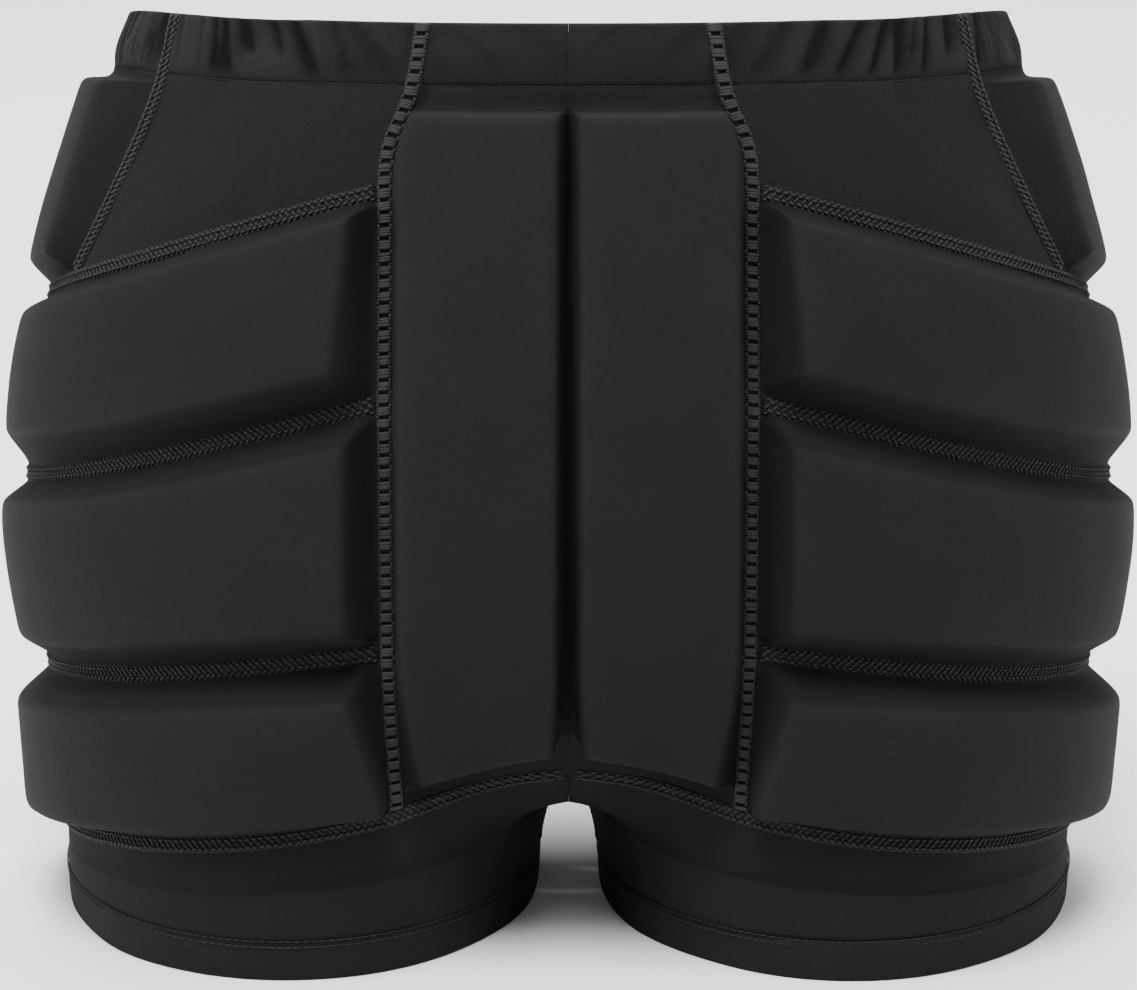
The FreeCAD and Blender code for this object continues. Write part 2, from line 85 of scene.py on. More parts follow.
RIM_SIDE_DROP = 0.0035
RIM_FRONT_DROP = 0.032
CASING_HEIGHT = 0.0205

FABRIC = 0.0008
LINING = 0.0008
FIT = 0.0002
SEAM_WIDTH = 0.0056
BRIM = 0.0034
FOAM = 0.018
SIDE_FOAM = (0.018, 0.0055)
LOWER_FOAM = (0.018, 0.012)
HIP_FOAM = 0.010

SEAT_SEAM_X = 0.0605
SEAT_SEAM_RIM_X = 0.048
SEAT_SEAM_LOW_X = 0.0590
HIP_SEAM_LOW = -25.0
HIP_SEAM_HIGH = -45.0
FRONT_SEAM = 35.0
YOKE_DEPTH = 0.054
LEG_SEAM_HEIGHT = 0.055
ROW_SHARES = (0.28, 0.40, 0.32)
UPPER_FALL = 0.049
MIDDLE_FALL = 0.0465
LOWER_FALL = 0.029
LEG_FALL = 0.027
LEG_SEAM_RISE = 0.00046

HEM_HEIGHT = 0.014
CENTRE_GAP = 0.00001
CENTRE_FADE = 0.040

leg_x = (LEG_GAP + LEG_WIDTH) / 2
body_y = (SEAT_DEPTH + FOAM + FIT - FRONT_DEPTH - FABRIC) / 2

# ---------------------------------------------------------------- the form of the body


def spread(pair, share):
    """A value that may differ at the two ends of an edge."""
    if isinstance(pair, tuple):
        return pair[0] + (pair[1] - pair[0]) * share
    return pair + 0.0 * share


def ease(t):
    t = np.clip(t, 0.0, 1.0)
    return t * t * (3 - 2 * t)


def smooth_through(value, stations):
    """A smooth curve through a few (value, result) stations, level outside them."""
    at, result = np.array(stations).T
    index = np.arange(len(at))
    before, after = np.maximum(index - 1, 0), np.minimum(index + 1, len(at) - 1)
    slope = (result[after] - result[before]) / (at[after] - at[before])
    value = np.clip(value, at[0], at[-1])
    i = np.clip(np.searchsorted(at, value, side="right") - 1, 0, len(at) - 2)
    step = at[i + 1] - at[i]
    t = (value - at[i]) / step
    leaving = (t ** 3 - 2 * t ** 2 + t) * step * slope[i]
    arriving = (t ** 3 - t ** 2) * step * slope[i + 1]
    return result[i] + (result[i + 1] - result[i]) * (3 * t ** 2 - 2 * t ** 3) + leaving + arriving


def solve(function, low, high, like):
    """Where a function that rises from low to high crosses zero, for each value given."""
    low, high = low + 0.0 * like, high + 0.0 * like
    for _ in range(34):
        middle = (low + high) / 2
        under = function(middle) < 0
        low, high = np.where(under, middle, low), np.where(under, high, middle)
    return (low + high) / 2


def hip_radius(turn, height):
    """Leg axis to the hip section, a superellipse about the body's centre."""
    share = height / HEIGHT
    half = smooth_through(share, [
        (0.0, HIP_HALF_WIDTH - 0.007), (0.28, HIP_HALF_WIDTH - 0.002), (0.47, HIP_HALF_WIDTH),
        (0.67, HIP_HALF_WIDTH - 0.009), (0.91, WAIST_HALF_WIDTH + 0.009), (1.0, WAIST_HALF_WIDTH)])
    back = smooth_through(share, [
        (0.0, SEAT_DEPTH - 0.012), (0.19, SEAT_DEPTH - 0.008), (0.34, SEAT_DEPTH - 0.002),
        (0.5, SEAT_DEPTH), (0.64, SEAT_DEPTH - 0.003), (0.78, SEAT_DEPTH - 0.014),
        (1.0, WAIST_BACK_DEPTH)])
    front = smooth_through(share, [
        (0.0, FRONT_DEPTH - 0.008), (0.31, FRONT_DEPTH - 0.002), (0.5, FRONT_DEPTH),
        (0.65, FRONT_DEPTH - 0.002), (0.81, FRONT_DEPTH - 0.010), (1.0, WAIST_FRONT_DEPTH)])
    across, along = np.cos(turn), np.sin(turn)

    def outside(radius):
        x = np.abs(leg_x + radius * across)
        y = radius * along - body_y
        depth = np.where(y < 0, back, front)
        return (x / half) ** ROUNDNESS + (np.abs(y) / depth) ** ROUNDNESS - 1

    return solve(outside, 0.0, 4 * HIP_HALF_WIDTH, turn + height)


def leg_radius(turn):
    return 1 / np.hypot(np.cos(turn) / (LEG_WIDTH / 2), np.sin(turn) / (LEG_DEPTH / 2))


def skin(angle, height):
    """The fabric's inner face at angles in degrees about the leg axis and at heights."""
    turn = np.radians(angle)
    inner = ease((np.abs(angle) - INNER_LEG[0]) / (INNER_LEG[1] - INNER_LEG[0]))
    low = spread((BLEND_LOW, INNER_BLEND_LOW), inner)
    high = spread((BLEND_HIGH, INNER_BLEND_HIGH), inner)
    share = ease((height - low) / (high - low))
    leg = leg_radius(turn) + INNER_LEAN * inner * ease((height - HEM_HEIGHT) / 0.024)
    radius = (1 - share) * leg + share * hip_radius(turn, height)
    return np.stack([leg_x + radius * np.cos(turn), radius * np.sin(turn), height + 0.0 * turn], -1)


def unit(vectors):
    return vectors / np.linalg.norm(vectors, axis=-1, keepdims=True)


def slopes(angle, height):
    """How the fabric runs per degree and per metre of height."""
    round_way = skin(angle + 0.5, height) - skin(angle - 0.5, height)
    up_way = (skin(angle, height + 0.0005) - skin(angle, height - 0.0005)) / 0.001
    return round_way, up_way


def outward(angle, height):
    """Unit direction of thickness. It turns parallel to the centre plane beside it."""
    round_way, up_way = slopes(angle, height)
    direction = unit(np.cross(round_way, up_way))
    direction[..., 0] *= ease(skin(angle, height)[..., 0] / CENTRE_FADE)
    return unit(direction)


def raised(angle, height, offset):
    return skin(angle, height) + outward(angle, height) * np.asarray(offset)[..., None]


# ---------------------------------------------------------------- lines on the fabric


def back_angle(x, height):
    return solve(lambda angle: skin(angle, height)[..., 0] - x, -180.0, -30.0, height + 0.0 * x)


def front_angle(x, height):
    return -solve(lambda angle: skin(-angle, height)[..., 0] - x, -180.0, -30.0, height + 0.0 * x)


def seat_seam_angle(height):
    x = smooth_through(height / HEIGHT, [
        (0.17, SEAT_SEAM_LOW_X), (0.34, SEAT_SEAM_X), (0.8, SEAT_SEAM_X),
        (0.87, SEAT_SEAM_X - 0.001), (0.93, SEAT_SEAM_RIM_X + 0.004), (1.0, SEAT_SEAM_RIM_X)])
    return back_angle(x, height)


def hip_seam_angle(height):
    return smooth_through(height / HEIGHT, [
        (0.72, HIP_SEAM_LOW), (0.8, HIP_SEAM_LOW - 9), (0.92, HIP_SEAM_HIGH + 0.5),
        (1.0, HIP_SEAM_HIGH)])


def front_seam_angle(height):
    return FRONT_SEAM + 0.0 * height


def centre_back_angle(height):
    return back_angle(CENTRE_GAP, height)


def centre_front_angle(height):
    return front_angle(CENTRE_GAP, height)


def cross_seam(height_at_seat, fall, bow):
    """Height of a seam that falls from the seat seam round to the side and the front."""
    seat_angle = float(seat_seam_angle(np.float64(height_at_seat)))

    def height(angle):
        share = (angle - seat_angle) / -seat_angle
        return height_at_seat - fall * (share + bow * share * (1 - share))
    return height


row_start = LEG_SEAM_HEIGHT
row_end = HEIGHT - YOKE_DEPTH
lower_at_seat = row_start + ROW_SHARES[0] * (row_end - row_start)
middle_at_seat = lower_at_seat + ROW_SHARES[1] * (row_end - row_start)
upper_seam = cross_seam(row_end, UPPER_FALL, 0.05)
middle_seam = cross_seam(middle_at_seat, MIDDLE_FALL, 0.32)
lower_seam = cross_seam(lower_at_seat, LOWER_FALL, 0.2)
outer_leg_seam = cross_seam(LEG_SEAM_HEIGHT, LEG_FALL, 0.12)
leg_seam_corner = float(seat_seam_angle(np.float64(LEG_SEAM_HEIGHT)))


def leg_seam(angle):
    inside = LEG_SEAM_HEIGHT + LEG_SEAM_RISE * (leg_seam_corner - angle)
    return np.where(angle < leg_seam_corner, inside, outer_leg_seam(angle))


def rim_height(angle):
    return HEIGHT - smooth_through(angle, [
        (-100.0, 0.0), (0.0, RIM_SIDE_DROP), (130.0, RIM_FRONT_DROP)])


def casing_line(angle):
    return rim_height(angle) - CASING_HEIGHT


def hem_line(angle):
    return HEM_HEIGHT + 0.0 * angle


crotch_height = float(solve(
    lambda height: CENTRE_GAP - skin(np.float64(180.0), height)[..., 0],
    0.0, INNER_BLEND_HIGH, np.float64(0.0)))


def meet(angle_at, height_at, guess):
    height = np.float64(guess)
    for _ in range(12):
        height = height_at(angle_at(height))
    return float(height)


def traced(angles, heights):
    """A line through many places, as a function of the share of it that is passed."""
    shares = np.linspace(0.0, 1.0, len(angles))
    return lambda share: (np.interp(share, shares, angles), np.interp(share, shares, heights))


def upright(angle_at, low_seam, high_seam):
    low = meet(angle_at, low_seam, HEIGHT / 2)
    high = meet(angle_at, high_seam, HEIGHT / 2)
    heights = np.linspace(low, high, 160)
    return traced(angle_at(heights), heights)


def level(height_at, start, end):
    angles = np.linspace(start[0], end[0], 160)
    return traced(angles, height_at(angles))


def passed(points):
    """Distance along a run of points, from the first to each of them."""
    return np.concatenate([[0.0], np.cumsum(np.linalg.norm(np.diff(points, axis=0), axis=1))])


def evenly(angles, heights, count=240):
    """The same line with its places spaced evenly along the cloth."""
    lengths = passed(skin(angles, heights))
    wanted = np.linspace(0.0, lengths[-1], count)
    return np.interp(wanted, lengths, angles), np.interp(wanted, lengths, heights)


def from_crotch(angle_at, top):
    heights = crotch_height + (top - crotch_height) * np.linspace(0.0, 1.0, 300) ** 2
    return traced(*evenly(angle_at(CENTRE_GAP, heights), heights))


def inseam_line(turn):
    return traced(np.array([turn, turn]), np.array([HEM_HEIGHT, crotch_height]))


def joined(first, second, share_of_first):
    def line(share):
        a = first(np.clip(share / share_of_first, 0, 1))
        b = second(np.clip((share - share_of_first) / (1 - share_of_first), 0, 1))
        early = share <= share_of_first
        return np.where(early, a[0], b[0]), np.where(early, a[1], b[1])
    return line


def patch(start, end, low, high):
    """The patch between four lines: (u, v) to (angle, height), filled evenly."""
    def place(u, v):
        result = []
        for k in (0, 1):
            across = (1 - u) * start(v)[k] + u * end(v)[k]
            upwards = (1 - v) * low(u)[k] + v * high(u)[k]
            corners = ((1 - u) * ((1 - v) * start(0.0)[k] + v * start(1.0)[k])
                       + u * ((1 - v) * end(0.0)[k] + v * end(1.0)[k]))
            result.append(across + upwards - corners)
        return result
    return place


def four_sided(angle_start, angle_end, low_seam, high_seam):
    start = upright(angle_start, low_seam, high_seam)
    end = upright(angle_end, low_seam, high_seam)
    low = level(low_seam, start(0.0), end(0.0))
    high = level(high_seam, start(1.0), end(1.0))
    return patch(start, end, low, high)


def share_grid(columns, rows):
    """Shares across and along a patch, for every point of a grid."""
    u = np.linspace(0, 1, columns)[:, None] + np.zeros((1, rows))
    v = np.linspace(0, 1, rows)[None, :] + np.zeros((columns, 1))
    return u, v


def run(place, fixed, along_u):
    steps = np.linspace(0.0, 1.0, 60)
    still = np.full(60, fixed)
    points = skin(*(place(steps, still) if along_u else place(still, steps)))
    return float(np.linalg.norm(np.diff(points, axis=0), axis=1).sum())


def edge_lengths(place):
    widths = (run(place, 0.0, True), run(place, 1.0, True))
    heights = (run(place, 0.0, False), run(place, 1.0, False))
    return widths, heights


# ---------------------------------------------------------------- meshes

FLIP = np.array([-1.0, 1.0, 1.0])


def ripple(points, size, seed):
    """Soft irregular waves of about one size, from -1 to 1, the same on every run."""
    chance = np.random.default_rng(seed)
    total = np.zeros(points.shape[:-1])
    for _ in range(9):
        direction = unit(chance.normal(size=3))
        wave = 2 * math.pi / (size * chance.uniform(0.7, 1.6))
        total += np.sin(points @ direction * wave + chance.uniform(0, 2 * math.pi))
    return total / 4.5


def cloth_coordinates(grid):
    """Where each point lies on the cloth laid flat, in metres from the patch's middle."""
    across = np.linalg.norm(np.diff(grid, axis=0), axis=-1)
    along = np.linalg.norm(np.diff(grid, axis=1), axis=-1)
    u = np.concatenate([np.zeros((1, grid.shape[1])), np.cumsum(across, axis=0)])
    v = np.concatenate([np.zeros((grid.shape[0], 1)), np.cumsum(along, axis=1)], axis=1)
    return np.stack([u - u[-1] / 2, v], -1)


def grid_faces(columns, rows, first=0, closed_columns=False):
    """Quads of a grid of points numbered column by column."""
    wide = columns if closed_columns else columns - 1
    i, j = np.meshgrid(np.arange(wide), np.arange(rows - 1), indexing="ij")
    a = first + i * rows + j
    b = first + ((i + 1) % columns) * rows + j
    return np.stack([a, b, b + 1, a + 1], -1).reshape(-1, 4)


def cloth_faces(columns, rows):
    """Faces of an outer and an inner grid of one size, with walls all round their edge."""
    count = columns * rows
    index = np.arange(count).reshape(columns, rows)
    border = np.concatenate([index[:-1, 0], index[-1, :-1], index[:0:-1, -1], index[0, :0:-1]])
    following = np.roll(border, -1)
    walls = np.stack([border, border + count, following + count, following], -1)
    front, back = grid_faces(columns, rows), grid_faces(columns, rows, count)[:, ::-1]
    return np.concatenate([front, back, walls])


def make_piece(name, points, faces, finish, coords=None, painted_light_and_threads=None, mirror=False):
    points = points * FLIP if mirror else points
    faces = [face[::-1] for face in faces] if mirror else list(faces)
    mesh = bpy.data.meshes.new(name)
    mesh.from_pydata(points.tolist(), [], [[int(k) for k in face] for face in faces])
    if coords is not None:
        layer = mesh.uv_layers.new(name="cloth")
        corners = np.zeros(len(mesh.loops), dtype=np.int32)
        mesh.loops.foreach_get("vertex_index", corners)
        layer.data.foreach_set("uv", coords[corners].astype(np.float32).ravel())
    # A per-point attribute: the knits read it as painted highlight and painted shade, the thread material
    # as which points are thread and which are the ridge under them.
    if painted_light_and_threads is not None:
        painted_light_and_thread_values = mesh.attributes.new("painted_light_and_threads", "FLOAT", "POINT")
        painted_light_and_thread_values.data.foreach_set("value", painted_light_and_threads.astype(np.float32))
    mesh.polygons.foreach_set("use_smooth", np.ones(len(mesh.polygons), dtype=bool))
    mesh.materials.append(finish)
    mesh.update()
    piece = bpy.data.objects.new(name, mesh)
    bpy.context.scene.collection.objects.link(piece)
    return piece


def settle(piece, slot, *nodes):
    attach(piece, "root")
    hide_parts(*nodes)


def cloth_piece(name, outer, inner, finish, painted_light_and_threads=None, mirror=False):
    """A closed piece of cloth with an outer and an inner face of the same grid."""
    points = np.concatenate([outer.reshape(-1, 3), inner.reshape(-1, 3)])
    flat = cloth_coordinates(outer).reshape(-1, 2)
    coords = np.concatenate([flat, flat])
    painted_light_and_thread_values = None
    if painted_light_and_threads is not None:
        painted_light_and_thread_values = np.concatenate([painted_light_and_threads.ravel(), np.zeros(painted_light_and_threads.size)])
    faces = cloth_faces(*outer.shape[:2])
    return make_piece(name, points, faces, finish, coords, painted_light_and_thread_values, mirror)


# ---------------------------------------------------------------- pads and their covers

BRIM_STEPS = (0.0, 0.4, 0.75, 1.0)
SLOPE_STEPS = np.linspace(0.0, 1.0, 10)[1:]
ROLL_STEPS = (0.0006, 0.0014, 0.0026, 0.0048)
INNER_SPACING = 0.0048
FOOT_ROUNDING = 0.0012
EDGE_ROUNDING = 0.0015
CORNER_SHARPNESS = 7.0
PUCKER_LENGTH = 0.0052
PUCKER_REACH = 0.0030
PUCKER_DEPTH = 0.00022
RIPPLE_DEPTH = 0.00030
FOAM_MARGIN = 0.0020


def edge_distances(foot, slope, share):
    """Distances from a side where the grid of a pad has its lines, close at its edge."""
    lines = [a * spread(foot, share) for a in BRIM_STEPS]
    lines += [spread(foot, share) + b * spread(slope, share) for b in SLOPE_STEPS]
    lines += [spread(foot, share) + spread(slope, share) + c for c in ROLL_STEPS]
    return np.stack(lines)


def risen(distance, foot, slope):
    """How far the cloth has risen over a pad's edge, from 0 to 1, with both bends rounded."""
    def bend(x, rounding):
        return (x + np.sqrt(x * x + rounding * rounding)) / 2
    low, high = np.minimum(FOOT_ROUNDING, 0.6 * slope), np.minimum(EDGE_ROUNDING, 0.7 * slope)
    rise = (bend(distance - foot, low) - bend(distance - foot - slope, high)) / slope
    start = (bend(-foot, low) - bend(-foot - slope, high)) / slope
    return np.clip((rise - start) / (1 - start), 0.0, 1.0)


class PadGrid:
    """The grid of one pad: its places on the cloth and how far each has risen."""

    def __init__(self, place, feet, edges):
        widths, heights = edge_lengths(place)
        self.place = place
        start, end, low, high = zip(feet, edges)
        margin = [sum(float(spread(part, 0.5)) for part in side) + ROLL_STEPS[-1]
                  for side in (start, end, low, high)]
        columns = max(3, round((sum(widths) / 2 - margin[0] - margin[1]) / INNER_SPACING))
        rows = max(3, round((sum(heights) / 2 - margin[2] - margin[3]) / INNER_SPACING))
        total_u = 2 * len(edge_distances(0.0, 0.0, 0.0)) + columns - 1
        total_v = 2 * len(edge_distances(0.0, 0.0, 0.0)) + rows - 1
        u, v = share_grid(total_u, total_v)
        for _ in range(4):
            share_up, share_round = v.mean(axis=0), u.mean(axis=1)
            width, height = spread(widths, share_up), spread(heights, share_round)
            u = self.lines(start, end, columns, share_up, width) / width[None, :]
            v = self.lines(low, high, rows, share_round, height).T / height[:, None]
        width, height = spread(widths, v), spread(heights, u)
        self.u, self.v = u, v
        self.angle, self.height = place(u, v)
        self.distances = (u * width, (1 - u) * width, v * height, (1 - v) * height)
        shares = (v, v, u, u)
        self.sides = [risen(d, spread(side[0], s), spread(side[1], s))
                      for d, side, s in zip(self.distances, (start, end, low, high), shares)]
        missing = sum((1 - side) ** CORNER_SHARPNESS for side in self.sides)
        self.rise = np.clip(1 - missing ** (1 / CORNER_SHARPNESS), 0.0, 1.0)

    @staticmethod
    def lines(first, last, inner, share, length):
        """Distances of all grid lines from the first side, one column per share."""
        near = edge_distances(*first, share)
        far = length - edge_distances(*last, share)[::-1]
        steps = np.linspace(0.0, 1.0, inner + 1)[1:-1, None]
        middle = near[-1] + steps * (far[0] - near[-1])
        return np.concatenate([near, middle, far])


def spread_more(pair, more):
    return tuple(value + more for value in pair) if isinstance(pair, tuple) else pair + more


def laid_out(grid, crown):
    """The cloth under a pad's grid, its outward direction and the crown of the pad's face."""
    bulge = crown * 16 * grid.u * (1 - grid.u) * grid.v * (1 - grid.v) * grid.rise
    return skin(grid.angle, grid.height), outward(grid.angle, grid.height), bulge


def cover_piece(name, node, grid, foam, crown, mirror, seed):
    """The knit cover drawn tight over a pad, down to a flat brim puckered by its seams."""
    base, direction, bulge = laid_out(grid, crown)
    start, end, low, high = grid.distances
    nearest = np.minimum.reduce(grid.distances)
    upright_side = np.minimum(start, end) < np.minimum(low, high)
    along_seam = np.where(upright_side, base[..., 2], start)
    pucker = np.sin(along_seam * 2 * math.pi / PUCKER_LENGTH + ripple(base, 0.03, seed) * 2)
    pucker = pucker * np.exp(-((nearest - BRIM) / PUCKER_REACH) ** 2) * PUCKER_DEPTH
    pull = ripple(base, 0.045, seed + 1) * RIPPLE_DEPTH + ripple(base, 0.014, seed + 2) * RIPPLE_DEPTH / 4
    height = (FABRIC + grid.rise * (spread(foam, grid.u) + FIT) + bulge
              + (pull + pucker) * np.minimum(1, nearest / 0.002))
    outer = base + direction * height[..., None]
    inner = base + direction * np.maximum(FIT / 2, height - 2 * FABRIC)[..., None]
    # Painted highlight: a band near the top of each pad's edge is coloured lighter in the knit and made a
    # little less rough.
    painted_light_and_threads = np.exp(-((grid.rise - 0.93) / 0.09) ** 2)
    cover = cloth_piece(name, outer, inner, cover_knit, painted_light_and_threads, mirror)
    settle(cover, "pad_cover_knit", node)


def foam_piece(name, node, grid, foam, crown, mirror):
    """The foam pad itself, without the brim of the grid."""
    base, direction, bulge = laid_out(grid, crown)
    keep = slice(2, -2)
    height = (FIT + grid.rise * (spread(foam, grid.u) - 2 * FIT) + bulge)[keep, keep]
    outer = base[keep, keep] + direction[keep, keep] * height[..., None]
    inner = base[keep, keep] + direction[keep, keep] * (FIT / 2)
    block = cloth_piece(name, outer, inner, foam_block, None, mirror)
    settle(block, "pad_foam", node)


# ---------------------------------------------------------------- covering stitches

STITCH = 0.0023
THREAD = 0.00058
ROW_OFFSET = 0.00145
RUNG_PITCH = 0.0042
RIDGE = 0.00035
RIDGE_SPACING = 0.004
RIDGE_ROWS = 9
UNEVEN_ALONG = 0.00009
UNEVEN_ASIDE = 0.00007
HALF_SEAM_MARGIN = 0.0003


def ribbon(line, count=400):
    """A frame to work in along a line: distance along it and to its side, in metres."""
    shares = np.linspace(0.0, 1.0, count)
    angles, heights = line(shares)
    lengths = passed(skin(angles, heights))

    def place(along, aside):
        share = along / lengths[-1]
        step = 0.002
        angle, height = line(np.clip(share, 0, 1))
        before = skin(*line(np.clip(share - step, 0, 1)))
        after = skin(*line(np.clip(share + step, 0, 1)))
        round_way, up_way = slopes(angle, height)
        sideways = unit(np.cross(np.cross(round_way, up_way), after - before)) * aside[..., None]
        a = (round_way * round_way).sum(-1)
        b = (round_way * up_way).sum(-1)
        c = (up_way * up_way).sum(-1)
        p = (sideways * round_way).sum(-1)
        q = (sideways * up_way).sum(-1)
        scale = a * c - b * b
        return angle + (c * p - b * q) / scale, height + (a * q - b * p) / scale
    return place, lengths[-1]


def tubes(paths, normals, radius, sides=5):
    """Round threads along many paths at once, closed at both ends."""
    count, length = paths.shape[:2]
    ahead = np.gradient(paths, axis=1)
    ahead = unit(ahead)
    side = unit(np.cross(ahead, normals))
    up = np.cross(side, ahead)
    turn = np.arange(sides) * 2 * math.pi / sides
    taper = np.ones(length)
    taper[[0, -1]] = 0.55
    ring = (side[:, :, None] * np.cos(turn)[:, None] + up[:, :, None] * np.sin(turn)[:, None])
    points = paths[:, :, None] + ring * (radius * taper)[:, None, None]
    index = np.arange(count * length * sides).reshape(count, length, sides)
    ends = np.concatenate([index[:, 0], index[:, -1, ::-1]])
    return points.reshape(-1, 3), [*side_faces(index[:, :-1], index[:, 1:]), *ends]


def seam_ridge(place, start, end, half_only, lift):
    """The low rounded ridge under the threads of a seam, or the half of it on one side."""
    half = SEAM_WIDTH / 2
    columns = max(8, round((end - start) / RIDGE_SPACING))
    along = np.linspace(start, end, columns)[:, None] + np.zeros((1, RIDGE_ROWS))
    across = np.linspace(0 if half_only else -1, 1, RIDGE_ROWS)[None, :] * half + np.zeros((columns, 1))
    ridge = FABRIC + lift + RIDGE * np.sqrt(np.clip(1 - (across / (half * 1.02)) ** 2, 0, 1))
    angle, height = place(along, across)
    outer = raised(angle, height, ridge)
    inner = raised(angle, height, np.full_like(ridge, FABRIC * 0.6 + lift))
    return np.concatenate([outer.reshape(-1, 3), inner.reshape(-1, 3)]), cloth_faces(columns, RIDGE_ROWS)


def stitched_seam(name, node, line, mirror, trim, half_only=False, lift=0.0, ladder=False, seed=1):
    """Covering stitches along a line: a flat ridge with its threads, plain or as a ladder."""
    place, length = ribbon(line)
    start, end = trim[0], length - trim[1]
    ridge, faces = seam_ridge(place, start, end, half_only, lift)
    points, faces, done = [ridge], [*faces], len(ridge)
    chance = np.random.default_rng(seed)
    threads = ladder_threads(start, end) if ladder else chain_threads(start, end)
    for stitch_along, aside, rise, radius in threads:
        stitch_along = stitch_along + chance.normal(0, UNEVEN_ALONG, (len(stitch_along), 1))
        aside = aside + chance.normal(0, UNEVEN_ASIDE, (len(stitch_along), 1))
        keep = (stitch_along.min(axis=1) > start) & (stitch_along.max(axis=1) < end)
        if half_only:
            keep &= aside.min(axis=1) > HALF_SEAM_MARGIN
        angle, height = place(stitch_along[keep], aside[keep])
        over = FABRIC + lift + np.broadcast_to(rise, stitch_along[keep].shape)
        made, loops = tubes(raised(angle, height, over), outward(angle, height), radius)
        points.append(made)
        faces += [face + done for face in loops]
        done += len(made)
    thread_share = np.ones(done)
    thread_share[:len(ridge)] = 0.0
    piece = make_piece(name, np.concatenate(points), faces, stitch_thread, None, thread_share, mirror)
    settle(piece, "covering_thread", node)


def chain_threads(start, end):
    """Threads of a plain covering stitch, as (along, aside, rise, radius) for every stitch."""
    first = np.arange(start, end, STITCH)[:, None]
    bead = np.linspace(-1.0, 1.0, 5)[None, :]
    threads = []
    for row in (-ROW_OFFSET, ROW_OFFSET):
        lean = 0.00022 * bead * np.sign(row)
        threads.append((first + bead * 0.34 * STITCH, row + lean,
                        RIDGE + THREAD * (0.8 - 0.9 * bead ** 2), THREAD))
        outside = row * 1.62
        threads.append((first + (0.5 + bead * 0.26) * STITCH, outside - 0.2 * row * bead ** 2 + 0.0 * first,
                        THREAD * (0.7 - 0.8 * bead ** 2), THREAD * 0.72))
    slant = 0.32 * STITCH * bead
    threads.append((first + 0.5 * STITCH + slant, bead * ROW_OFFSET * 0.72 + 0.0 * first,
                    RIDGE + THREAD * (0.45 - 0.7 * bead ** 2), THREAD * 0.72))
    return threads


def ladder_threads(start, end):
    """Threads of the heavy seat seam: three bars across in a block, tied along both edges."""
    first = np.arange(start, end, RUNG_PITCH)[:, None]
    bead = np.linspace(-1.0, 1.0, 7)[None, :]
    threads = []
    for step in (-0.2, 0.0, 0.2):
        threads.append((first + RUNG_PITCH * (step + 0.05 * bead), bead * 0.0024 + 0.0 * first,
                        RIDGE + THREAD * (1.5 - 1.2 * bead ** 4), THREAD * 1.2))
    for row in (-0.0020, 0.0020):
        threads.append((first + (0.5 + bead * 0.17) * RUNG_PITCH,
                        row - 0.12 * row * bead ** 2 + 0.0 * first,
                        RIDGE + THREAD * (0.7 - 0.5 * bead ** 2), THREAD * 0.9))
    return threads


# ---------------------------------------------------------------- plain cloth


def panel_piece(name, slot, node, place, columns, rows, finish, mirror,
                shape=None, inside=0.0, thick=FABRIC):
    """One layer of cloth over a patch. shape gives extra height from (points, u, v)."""
    u, v = share_grid(columns, rows)
    angle, height = place(u, v)
    base = skin(angle, height)
    direction = outward(angle, height)
    extra = shape(base, u, v) if shape else 0.0 * u
    outer = base + direction * (inside + thick + extra)[..., None]
    inner = base + direction * (inside + extra)[..., None]
    settle(cloth_piece(name, outer, inner, finish, None, mirror), slot, node)


def leg_place():
    corner = meet(centre_back_angle, leg_seam, HEIGHT / 4)
    start = joined(inseam_line(-180.0), from_crotch(back_angle, corner), 0.3)
    end = upright(front_seam_angle, hem_line, leg_seam)
    return patch(start, end, level(hem_line, start(0.0), end(0.0)), level(leg_seam, start(1.0), end(1.0)))


def front_place():
    top = meet(centre_front_angle, casing_line, HEIGHT)
    start = upright(front_seam_angle, hem_line, casing_line)
    end = joined(inseam_line(180.0), from_crotch(front_angle, top), 0.12)
    return patch(start, end, level(hem_line, start(0.0), end(0.0)),
                 level(casing_line, start(1.0), end(1.0)))


BINDING_HALF_WIDTH = 0.004
BINDING_TOP = 0.300
BINDING_START = 0.0006
BINDING_LAYERS = (0.0002, 0.0008)


def centre_binding(finish):
    """The tape that binds the centre back seam inside, from the crotch to the waistband."""
    low = crotch_height + BINDING_START
    x = np.linspace(-BINDING_HALF_WIDTH, BINDING_HALF_WIDTH, 9)[:, None] + np.zeros((1, 90))
    height = low + (BINDING_TOP - low) * np.linspace(0, 1, 90)[None, :] ** 1.5 + np.zeros((9, 1))
    angle = back_angle(np.maximum(np.abs(x), 0.00002), height)
    side = np.stack([np.sign(x), np.ones_like(x), np.ones_like(x)], -1)
    outer = raised(angle, height, np.full_like(x, -FIT - LINING - BINDING_LAYERS[0])) * side
    inner = raised(angle, height, np.full_like(x, -FIT - LINING - BINDING_LAYERS[1])) * side
    piece = cloth_piece("centre_back_binding", outer, inner, finish)
    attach(piece, "root")


# ---------------------------------------------------------------- waistband

GATHER_DEPTH = 0.0026
FOLD_FLOOR = -0.0008
YOKE_FOLD_DROP = 0.033
SIDE_GATHERS = (0.200, 0.300)
CREASE_SHADE = 2.4
RIM_ROUNDING = 0.0017
ELASTIC_SHARES = (0.12, 0.86)
ELASTIC_LAYERS = (0.0002, 0.0013)


